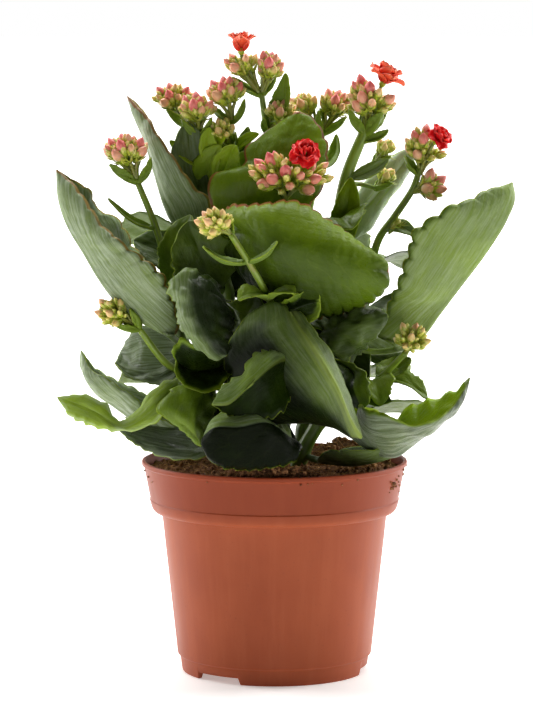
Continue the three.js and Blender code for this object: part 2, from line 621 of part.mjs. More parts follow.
// ---- assembly ----
const plant = new THREE.Group();
plant.add(pieceOf('pot', makePot(), potPlastic));
plant.add(pieceOf('soil', makeSoil(Object.values(shoots).map((shoot) => shoot.solid(clearance))), peat));
for (const name of Object.keys(shoots)) {
  plant.add(pieceOf(`leafy_shoot_${name}`, makeLeafyShoot(name), leafGreen));
}
for (const spray of sprays) plant.add(pieceOf(`spray_${spray.name}`, makeSpray(spray), sprayGreen));
for (const [name, bloom] of Object.entries(blooms)) {
  plant.add(pieceOf(`bloom_${name}`, makeBloom(bloom), petalRed));
}

const middle = new THREE.Box3().setFromObject(plant).getCenter(new THREE.Vector3());
for (const piece of plant.children) piece.geometry.translate(-middle.x, -middle.y, 0);

export default plant;
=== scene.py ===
import bpy
import bmesh
import math
import numpy as np
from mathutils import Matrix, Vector, noise


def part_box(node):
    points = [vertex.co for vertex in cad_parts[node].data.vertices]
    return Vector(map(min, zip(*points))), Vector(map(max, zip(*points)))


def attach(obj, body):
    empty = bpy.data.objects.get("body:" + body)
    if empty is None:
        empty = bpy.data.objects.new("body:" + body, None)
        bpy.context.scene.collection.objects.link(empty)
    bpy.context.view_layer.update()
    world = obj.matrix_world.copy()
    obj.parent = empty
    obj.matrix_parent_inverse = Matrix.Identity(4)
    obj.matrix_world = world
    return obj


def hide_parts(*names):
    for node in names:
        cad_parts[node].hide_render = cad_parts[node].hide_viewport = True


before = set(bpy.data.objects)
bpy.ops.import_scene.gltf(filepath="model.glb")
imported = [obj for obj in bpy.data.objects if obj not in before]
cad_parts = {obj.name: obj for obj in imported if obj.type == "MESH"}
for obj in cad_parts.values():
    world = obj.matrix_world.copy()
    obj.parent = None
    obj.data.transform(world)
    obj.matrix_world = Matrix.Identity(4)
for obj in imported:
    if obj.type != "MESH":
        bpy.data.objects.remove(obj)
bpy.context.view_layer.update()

# Lengths below are millimetres from the pot's axis; makePiece turns them into metres in the frame.
millimetre = 0.001
potLow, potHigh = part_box("pot")
potAxis = np.array([(potLow.x + potHigh.x) / 2, (potLow.y + potHigh.y) / 2, 0.0])

fullTurn = 2 * math.pi
goldenAngle = math.pi * (3 - math.sqrt(5))


# A pile gathers points and faces. Each point also carries three triples that the materials read: place,
# tone and part.
pointNotes = ("place", "tone", "part")


def newPile():
    return {"points": [], "quads": [], "triangles": [], "quadFinish": [], "triangleFinish": [],
            "place": [], "tone": [], "part": [], "count": 0}


def everyPoint(value, count):
    return np.broadcast_to(np.asarray(value, float), (count, 3)).copy()


# A closed skin through rings of points; each ring runs counterclockwise seen along the skin's direction.
def addLoft(pile, rings, finish=0, place=0, tone=0, part=0):
    rows, sides = rings.shape[:2]
    foot = pile["count"] + rows * sides
    tip = foot + 1
    pile["points"] += [rings.reshape(-1, 3), rings[[0, -1]].mean(1)]
    for key, value in zip(pointNotes, (place, tone, part)):
        value = np.asarray(value, float)
        if value.shape[:2] == (rows, sides):
            pile[key] += [value.reshape(-1, 3), value[[0, -1]].mean(1)]
        else:
            pile[key].append(everyPoint(value, rows * sides + 2))
    a = pile["count"] + np.arange(rows * sides).reshape(rows, sides)
    b = np.roll(a, -1, 1)
    quads = np.stack([a[:-1], b[:-1], b[1:], a[1:]], -1).reshape(-1, 4)
    footFan = np.stack([np.full(sides, foot), b[0], a[0]], -1)
    tipFan = np.stack([np.full(sides, tip), a[-1], b[-1]], -1)
    pile["quads"].append(quads)
    pile["triangles"] += [footFan, tipFan]
    pile["quadFinish"].append(np.full(len(quads), finish))
    pile["triangleFinish"].append(np.full(2 * sides, finish))
    pile["count"] += rows * sides + 2


def addTriangles(pile, points, triangles):
    pile["points"].append(points)
    for key in pointNotes:
        pile[key].append(np.zeros((len(points), 3)))
    pile["triangles"].append(triangles + pile["count"])
    pile["triangleFinish"].append(np.zeros(len(triangles), int))
    pile["count"] += len(points)


def makePiece(name, pile, finishes, slotName, *nodes):
    quads = np.vstack(pile["quads"]) if pile["quads"] else np.zeros((0, 4), int)
    triangles = np.vstack(pile["triangles"])
    corners = np.concatenate([quads.ravel(), triangles.ravel()])
    starts = np.concatenate([4 * np.arange(len(quads)), 4 * len(quads) + 3 * np.arange(len(triangles))])
    points = np.vstack(pile["points"]) * millimetre + potAxis
    finishOfFace = np.concatenate(pile["quadFinish"] + pile["triangleFinish"])
    mesh = bpy.data.meshes.new(name)
    mesh.vertices.add(len(points))
    mesh.vertices.foreach_set("co", points.ravel())
    mesh.loops.add(len(corners))
    mesh.loops.foreach_set("vertex_index", corners)
    mesh.polygons.add(len(starts))
    mesh.polygons.foreach_set("loop_start", starts)
    mesh.polygons.foreach_set("material_index", finishOfFace)
    mesh.polygons.foreach_set("use_smooth", np.ones(len(starts), bool))
    mesh.update(calc_edges=True)
    for key in pointNotes:
        layer = mesh.attributes.new(key, "FLOAT_VECTOR", "POINT")
        layer.data.foreach_set("vector", np.vstack(pile[key]).ravel())
    mesh.validate()
    for finish in finishes:
        mesh.materials.append(finish)
    piece = putInScene(name, mesh)
    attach(piece, "root")
    if nodes:
        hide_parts(*nodes)
    return piece


def putInScene(name, data):
    made = bpy.data.objects.new(name, data)
    bpy.context.scene.collection.objects.link(made)
    return made


# left_tall becomes LeftTall, and backRight becomes BackRight
def pieceWords(node):
    return "".join(word[0].upper() + word[1:] for word in node.split("_"))


# curves, tubes and other shapes
def unit(v):
    return v / np.maximum(np.linalg.norm(v, axis=-1, keepdims=True), 1e-9)


def smoothStep(value, low, high):
    t = np.clip((value - low) / (high - low), 0, 1)
    return t * t * (3 - 2 * t)


def bend(foot, via, tip, t):
    t = np.asarray(t, float)[:, None]
    foot, via, tip = (np.asarray(p, float) for p in (foot, via, tip))
    return (1 - t) ** 2 * foot + 2 * t * (1 - t) * via + t * t * tip


def lengthAlong(path):
    return np.concatenate([[0], np.cumsum(np.linalg.norm(np.diff(path, axis=0), axis=1))])


def roundAngles(sides):
    return np.linspace(0, fullTurn, sides, endpoint=False)


def pointsAt(path, marks, wanted):
    return np.stack([np.interp(wanted, marks, path[:, k]) for k in range(3)], -1)


def sample(path, share):
    return pointsAt(path, np.linspace(0, 1, len(path)), share)


# A smooth curve through the given points. Its own points lie evenly along it, or with even=False there are
# as many in each stretch between two given points.
def smoothPath(points, count, even=True):
    points = np.asarray(points, float)
    whole = np.vstack([2 * points[0] - points[1], points, 2 * points[-1] - points[-2]])
    fine = []
    t = np.linspace(0, 1, 40, endpoint=False)[:, None]
    for x0, x1, x2, x3 in zip(whole, whole[1:], whole[2:], whole[3:]):
        d0, d1, d2 = (math.sqrt(np.linalg.norm(b - a)) for a, b in ((x0, x1), (x1, x2), (x2, x3)))
        t1 = ((x1 - x0) / d0 - (x2 - x0) / (d0 + d1) + (x2 - x1) / d1) * d1
        t2 = ((x2 - x1) / d1 - (x3 - x1) / (d1 + d2) + (x3 - x2) / d2) * d1
        square, cube = -3 * x1 + 3 * x2 - 2 * t1 - t2, 2 * x1 - 2 * x2 + t1 + t2
        fine.append(x1 + t1 * t + square * t ** 2 + cube * t ** 3)
    fine = np.vstack(fine + [points[-1:]])
    if not even:
        return sample(fine, np.linspace(0, 1, count))
    length = lengthAlong(fine)
    return pointsAt(fine, length, np.linspace(0, length[-1], count))


# Rings round a path; radii may vary along it, and shape may vary a ring's radius round it.
def tubeRings(path, radii, sides, shape=1.0):
    forward = unit(np.gradient(path, axis=0))
    side = unit(np.cross(forward[0], [0.13, 0.31, -0.94]))  # any direction that no path starts in
    sideways = []
    for f in forward:
        side = unit(side - f * np.dot(side, f))
        sideways.append(side)
    sideways = np.array(sideways)
    across = np.cross(forward, sideways)
    angle = roundAngles(sides)[None, :, None]
    reach = np.broadcast_to(np.asarray(radii, float).reshape(-1, 1), (len(path), sides)) * shape
    ring = np.cos(angle) * sideways[:, None] + np.sin(angle) * across[:, None]
    return path[:, None] + ring * reach[..., None]


def tubePlace(path, sides, seed):
    angle = roundAngles(sides)[None]
    return triple(2 * np.cos(angle), lengthAlong(path)[:, None], 2 * np.sin(angle) + seed)


def triple(x, y, z):
    return np.stack(np.broadcast_arrays(x, y, z), -1).astype(float)


# the turn that brings upright to the given axis
def turnTo(axis):
    return np.array(Vector((0, 0, 1)).rotation_difference(Vector(axis)).to_matrix())


# Materials: each helper adds one node to the tree that its inputs belong to, and gives its output.
def paint(*rgb):
    return tuple(((c / 255 + 0.055) / 1.055) ** 2.4 if c > 10 else c / 3294 for c in rgb) + (1.0,)


def addNode(kind, sockets, owner=None, **settings):
    if owner is None:
        owner = next(value for value in sockets.values() if isinstance(value, bpy.types.NodeSocket))
    tree = owner.id_data
    made = tree.nodes.new("ShaderNode" + kind)
    for key, value in settings.items():
        setattr(made, key, value)
    for key, value in sockets.items():
        if isinstance(value, bpy.types.NodeSocket):
            tree.links.new(value, made.inputs[key])
        else:
            made.inputs[key].default_value = value
    return made


skinSockets = {"subsurface": "Subsurface Weight", "depth": "Subsurface Scale",
               "spread": "Subsurface Radius", "gloss": "Specular IOR Level"}


def newFinish(name, roughness, **skin):
    material = bpy.data.materials.new(name)
    material.use_nodes = True
    shader = material.node_tree.nodes["Principled BSDF"]
    shader.inputs["Roughness"].default_value = roughness
    for key, value in skin.items():
        shader.inputs[skinSockets[key]].default_value = value
    return material, shader


def plug(value, shader, socket):
    shader.id_data.links.new(value, shader.inputs[socket])


def plus(a, b):
    return addNode("Math", {0: a, 1: b}, operation="ADD").outputs[0]


def minus(a, b):
    return addNode("Math", {0: a, 1: b}, operation="SUBTRACT").outputs[0]


def times(a, b):
    return addNode("Math", {0: a, 1: b}, operation="MULTIPLY").outputs[0]


def remap(value, lowIn, highIn, lowOut=0.0, highOut=1.0, kind="SMOOTHSTEP"):
    return addNode("MapRange", {"Value": value, "From Min": lowIn, "From Max": highIn, "To Min": lowOut,
                                "To Max": highOut}, interpolation_type=kind).outputs[0]


def blend(factor, a, b):
    return addNode("Mix", {0: factor, 6: a, 7: b}, data_type="RGBA").outputs[2]


def grain(vector, scale, detail=3.0, roughness=0.5):
    return addNode("TexNoise", {"Vector": vector, "Scale": scale, "Detail": detail,
                                "Roughness": roughness}).outputs["Fac"]


def stretched(vector, scale):
    return addNode("Mapping", {"Vector": vector, "Scale": scale}).outputs[0]


def readNote(shader, key):
    return addNode("Attribute", {}, shader, attribute_name=key).outputs["Vector"]


def readSpot(shader):
    return addNode("NewGeometry", {}, shader).outputs["Position"]


def split(vector):
    return addNode("SeparateXYZ", {0: vector}).outputs


def addRelief(shader, height, strength, distance):
    relief = addNode("Bump", {"Height": height, "Strength": strength, "Distance": distance})
    plug(relief.outputs[0], shader, "Normal")


# Leaf skin reads place as (across, along, seed) in mm, tone as (bright, wax and sheen, red) and part as (mm
# from the edge, mm from the rib, how pale underneath). Bright runs from -0.25 black over 0 deep, 0.5 middle
# and
# 1 fresh to 1.6 lime. It is partly each leaf's own tone and partly painted light: leaves deep in shade are
# set below 0 towards black as painted shade, and above 1 towards lime is partly a painted glow where a leaf
# is lit through from behind.
leafColours = {
    "black": (10, 16, 4), "deep": (24, 37, 5), "middle": (76, 98, 8), "fresh": (124, 150, 14),
    "lime": (156, 186, 22), "wax": (172, 184, 158), "underside": (112, 132, 60), "rib": (150, 168, 74),
    "greenEdge": (140, 160, 50), "redEdge": (124, 58, 40),
}
leafLevels = [("middle", 0.0, 0.5), ("fresh", 0.5, 1.0), ("lime", 1.1, 1.6), ("black", 0.0, -0.25)]


def leafSkin(name, gloss=0.14, **changed):
    material, shader = newFinish(name, 0.36, subsurface=0.1, depth=0.0012, spread=(0.7, 1.0, 0.15),
                                 gloss=gloss)
    place = readNote(shader, "place")
    across, along, _ = split(place)
    bright, waxAndSheenShare, red = split(readNote(shader, "tone"))
    edge, rib, under = split(readNote(shader, "part"))
    tint = {key: paint(*value) for key, value in {**leafColours, **changed}.items()}
    speckle = grain(place, 1.1, 4.0, 0.6)
    # level carries bright's painted shade, so the underside pallor, the veins and the margin line fade with
    # it on leaves painted into shade
    level = plus(bright, remap(grain(place, 0.05), 0.3, 0.7, -0.12, 0.12))
    colour = tint["deep"]
    for shade, low, high in leafLevels:
        colour = blend(remap(level, low, high, kind="LINEAR"), colour, tint[shade])
    colour = blend(times(under, remap(level, -0.1, 0.5, 0.0, 0.4)), colour, tint["underside"])
    # the pale wax lies in fine streaks along the blade: partly the leaf's own bloom, partly a painted sheen
    # of the bright surroundings
    streak = grain(stretched(place, (0.8, 0.05, 1.0)), 1.0, 5.0, 0.65)
    waxAndSheenFilm = times(waxAndSheenShare, remap(streak, 0.35, 0.68, 0.25, 1.0))
    colour = blend(times(waxAndSheenFilm, 0.4), colour, tint["wax"])
    colour = blend(remap(speckle, 0.55, 0.75, 0.0, 0.2), colour, tint["deep"])
    # faint side veins run outwards and forwards from the midrib
    away = addNode("Math", {0: across}, operation="ABSOLUTE").outputs[0]
    flow = plus(minus(along, times(away, 0.9)), times(grain(place, 0.12, 2.0), 14.0))
    ripple = addNode("Math", {0: times(flow, 0.55)}, operation="SINE").outputs[0]
    veins = times(remap(ripple, 0.93, 1.0, 0.0, 0.06), remap(level, -0.1, 0.5, 0.1, 1.0))
    for share in (veins, remap(rib, 1.1, 0.2, 0.0, 0.22), remap(rib, -1.2, -2.2, 0.0, 0.5)):
        colour = blend(share, colour, tint["rib"])
    # a thin line along the margin, wider where it is red
    wander = plus(edge, times(grain(place, 0.35, 2.0), 0.9))
    line = remap(minus(wander, red), 1.05, 0.5, 0.0, 0.85)
    edgeTint = blend(red, tint["greenEdge"], tint["redEdge"])
    colour = blend(times(line, remap(level, -0.2, 0.3, 0.3, 1.0)), colour, edgeTint)
    plug(colour, shader, "Base Color")
    plug(plus(remap(speckle, 0.3, 0.7, 0.24, 0.4, "LINEAR"), times(under, 0.14)), shader, "Roughness")
    wrinkle = grain(stretched(place, (0.34, 0.2, 1.0)), 1.0, 4.0, 0.55)
    height = plus(plus(times(speckle, 0.12), times(streak, 0.3)), times(wrinkle, 0.9))
    addRelief(shader, height, 0.5, 0.0012)
    return material


def stalkSkin(name, shade, blush):
    material, shader = newFinish(name, 0.36, subsurface=0.15, depth=0.0015, spread=(0.7, 1.0, 0.3))
    place = readNote(shader, "place")
    line = grain(stretched(place, (0.9, 0.05, 0.9)), 1.0, 3.0)
    colour = blend(remap(line, 0.3, 0.7), paint(*shade), paint(*[0.72 * c for c in shade]))
    patch = times(remap(grain(place, 0.16, 2.0), 0.55, 0.8), 0.35)
    colour = blend(patch, colour, paint(*blush))
    red = split(readNote(shader, "tone"))[2]
    colour = blend(times(red, 0.75), colour, paint(*blush))
    plug(colour, shader, "Base Color")
    addRelief(shader, line, 0.3, 0.0006)
    return material


# Bud skin reads place as (round, along from 0 to 1, seed) and tone as (pink, 0, 0).
budColours = {"base": (190, 202, 74), "young": (216, 210, 112), "blush": (236, 180, 140),
              "coral": (232, 130, 120), "deep": (200, 64, 74)}


def budSkin():
    material, shader = newFinish("budSkin", 0.38, subsurface=0.25, depth=0.002, spread=(1.0, 0.45, 0.35))
    place = readNote(shader, "place")
    along = split(place)[1]
    pink = split(readNote(shader, "tone"))[0]
    tint = {key: paint(*value) for key, value in budColours.items()}
    mottle = grain(stretched(place, (1.6, 3.0, 1.0)), 1.0, 3.0)
    body = blend(remap(pink, 0.0, 0.5), tint["young"], tint["blush"])
    body = blend(remap(pink, 0.4, 0.8), body, tint["coral"])
    rich = times(pink, remap(mottle, 0.42, 0.66))
    body = blend(times(rich, 0.55), body, tint["deep"])
    rise = plus(along, times(pink, 0.5))
    colour = blend(remap(rise, 0.4, 0.75), tint["base"], body)
    top = times(remap(along, 0.62, 1.0), pink)
    colour = blend(times(top, 0.6), colour, tint["deep"])
    plug(colour, shader, "Base Color")
    addRelief(shader, mottle, 0.25, 0.0005)
    return material


# Petal skin reads place as (across, along from 0 to 1, seed).
def petalSkin(name, heart, outer, edge):
    material, shader = newFinish(name, 0.46, subsurface=0.12, depth=0.001, spread=(1.0, 0.2, 0.15),
                                 gloss=0.3)
    place = readNote(shader, "place")
    along = split(place)[1]
    line = grain(stretched(place, (2.2, 1.2, 1.0)), 1.0, 3.0)
    colour = blend(remap(along, 0.1, 0.7), paint(*heart), paint(*outer))
    colour = blend(times(remap(along, 0.75, 1.0), 0.6), colour, paint(*edge))
    colour = blend(remap(line, 0.45, 0.75, 0.0, 0.4), colour, paint(*heart))
    plug(colour, shader, "Base Color")
    addRelief(shader, line, 0.3, 0.0005)
    return material


leafFinish = leafSkin("leafSkin")
bractFinish = leafSkin("bractSkin", middle=(92, 118, 24), fresh=(126, 150, 36))
# the same leaf skin with almost no gloss: painted shade for the front leaves that sit deep in shade
shadedLeafFinish = leafSkin("shadedLeafSkin", gloss=0.03)
stemFinish = stalkSkin("stemSkin", (88, 118, 24), (112, 96, 40))
sprayStalkFinish = stalkSkin("sprayStalkSkin", (134, 160, 46), (156, 120, 66))
sepalFinish = stalkSkin("sepalSkin", (180, 200, 52), (216, 184, 104))
budFinish = budSkin()
scarletFinish = petalSkin("scarletPetal", (178, 8, 18), (224, 20, 26), (238, 60, 46))
orangeFinish = petalSkin("orangePetal", (214, 52, 34), (236, 92, 58), (244, 130, 88))
print("finishes for leaves, stalks, buds and petals made")

# Leafy shoots: the line of each stem, from inside the soil to its top.
shoots = {
    "left": [[-15, -2, 72], [-20, -3, 96], [-34, -6, 128], [-44, -9, 160], [-47, -10, 180]],
    "frontLeft": [[-6, -11, 72], [-8, -12, 96], [-14, -15, 130], [-20, -18, 165], [-23, -19, 188]],
    "centre": [[-1, 4, 72], [0, 4, 96], [2, 3, 130], [3, 2, 165], [3, 0, 193]],
    "front": [[3, -21, 72], [3, -22, 96], [4, -23, 118], [4, -24, 137]],
    "right": [[9, -6, 72], [11, -8, 96], [22, -10, 118], [34, -8, 145], [42, -4, 175]],
    "backRight": [[9, 14, 72], [11, 14, 96], [19, 11, 130], [25, 7, 170], [28, 3, 198]],
    "backLeft": [[-12, 14, 72], [-13, 15, 96], [-17, 16, 140], [-22, 15, 180], [-25, 14, 203]],
    "back": [[-1, 28, 72], [0, 30, 96], [4, 33, 140], [10, 35, 180], [15, 35, 203]],
}
stemForm = {"foot": 3.5, "top": 2.4, "sides": 16, "rings": 121, "knuckle": 0.7, "knuckleLength": 3.0}
shootPaths = {name: smoothPath(axis, stemForm["rings"]) for name, axis in shoots.items()}
onBlade, onStem, onShadedBlade = range(3)  # places in a leafy shoot's list of finishes


def axisPoint(shoot, height):
    path = shootPaths[shoot]
    return path[np.argmin(np.abs(path[:, 2] - height))]


leafForm = {
    "rowsPerLobe": 16, "columns": 25, "petioleRows": 6, "lastRow": 0.998,
    "crowdEnds": 0.35, "crowdMidrib": 1.35,  # how far rows and columns crowd together there
    "thickness": 0.95, "petioleRadius": 1.7, "petioleHeight": 1.45,
    "groove": 0.35, "grooveWidth": 1.1, "midribSoftness": 0.03,
    "foldFrom": 0.125, "shoulder": 0.86, "blunt": 0.6,  # a folded leaf's fold and oval
    "lobeDepth": 0.1, "lobeDrift": 0.2, "wave": 0.9, "dimple": 0.55,
    "fullTeethFrom": 40, "fullWavesFrom": 45,  # a narrower blade has smaller ones
    "pathPoints": 400,
}
# What a leaf may change: fold is degrees at the midrib, petiole its share of the length, notch the depth of
# the scallops, step the depth of the teeth in mm. Tones are bright, wax and sheen, red; a half's own tone
# is painted light on the half that faces the light, and turn is how gradually it sets in. rim is its width
# in mm
# and a tone. shade is painted shade: a side (-1 left, 1 right), from and to along the leaf, from and to
# across it, and a tone. soft is how often the fold at the midrib is smoothed.
leafUsual = {"fold": 15, "petiole": 0.17, "notch": 1, "teeth": 3, "step": 1.4, "wave": 1,
             "turn": 0.06, "soft": 0, "crinkle": 0.5, "rib": 0.5, "pale": 1, "tone": (0.4, 0.4, 0)}


def leaf(at, via, tip, face, width, lobes=4, **more):
    return {**leafUsual, "at": at, "via": via, "tip": tip, "face": face, "width": width, "lobes": lobes,
            **more}


def small(at, via, tip, face, width, **more):
    return leaf(at, via, tip, face, width, 3, **more)


# A leaf laid through its midrib, its left and its right margin, each from the foot on. bulge is how far
# each half swells towards the upper side, and paired matches the three lines point by point. The width here
# only says that the teeth have their full size.
def laid(at, **more):
    return {**leafUsual, "at": at, "width": 60, "petiole": 0.1, "notch": 0.3, "step": 2, "wave": 0.4,
            "bulge": [0, 0], "paired": False, **more}
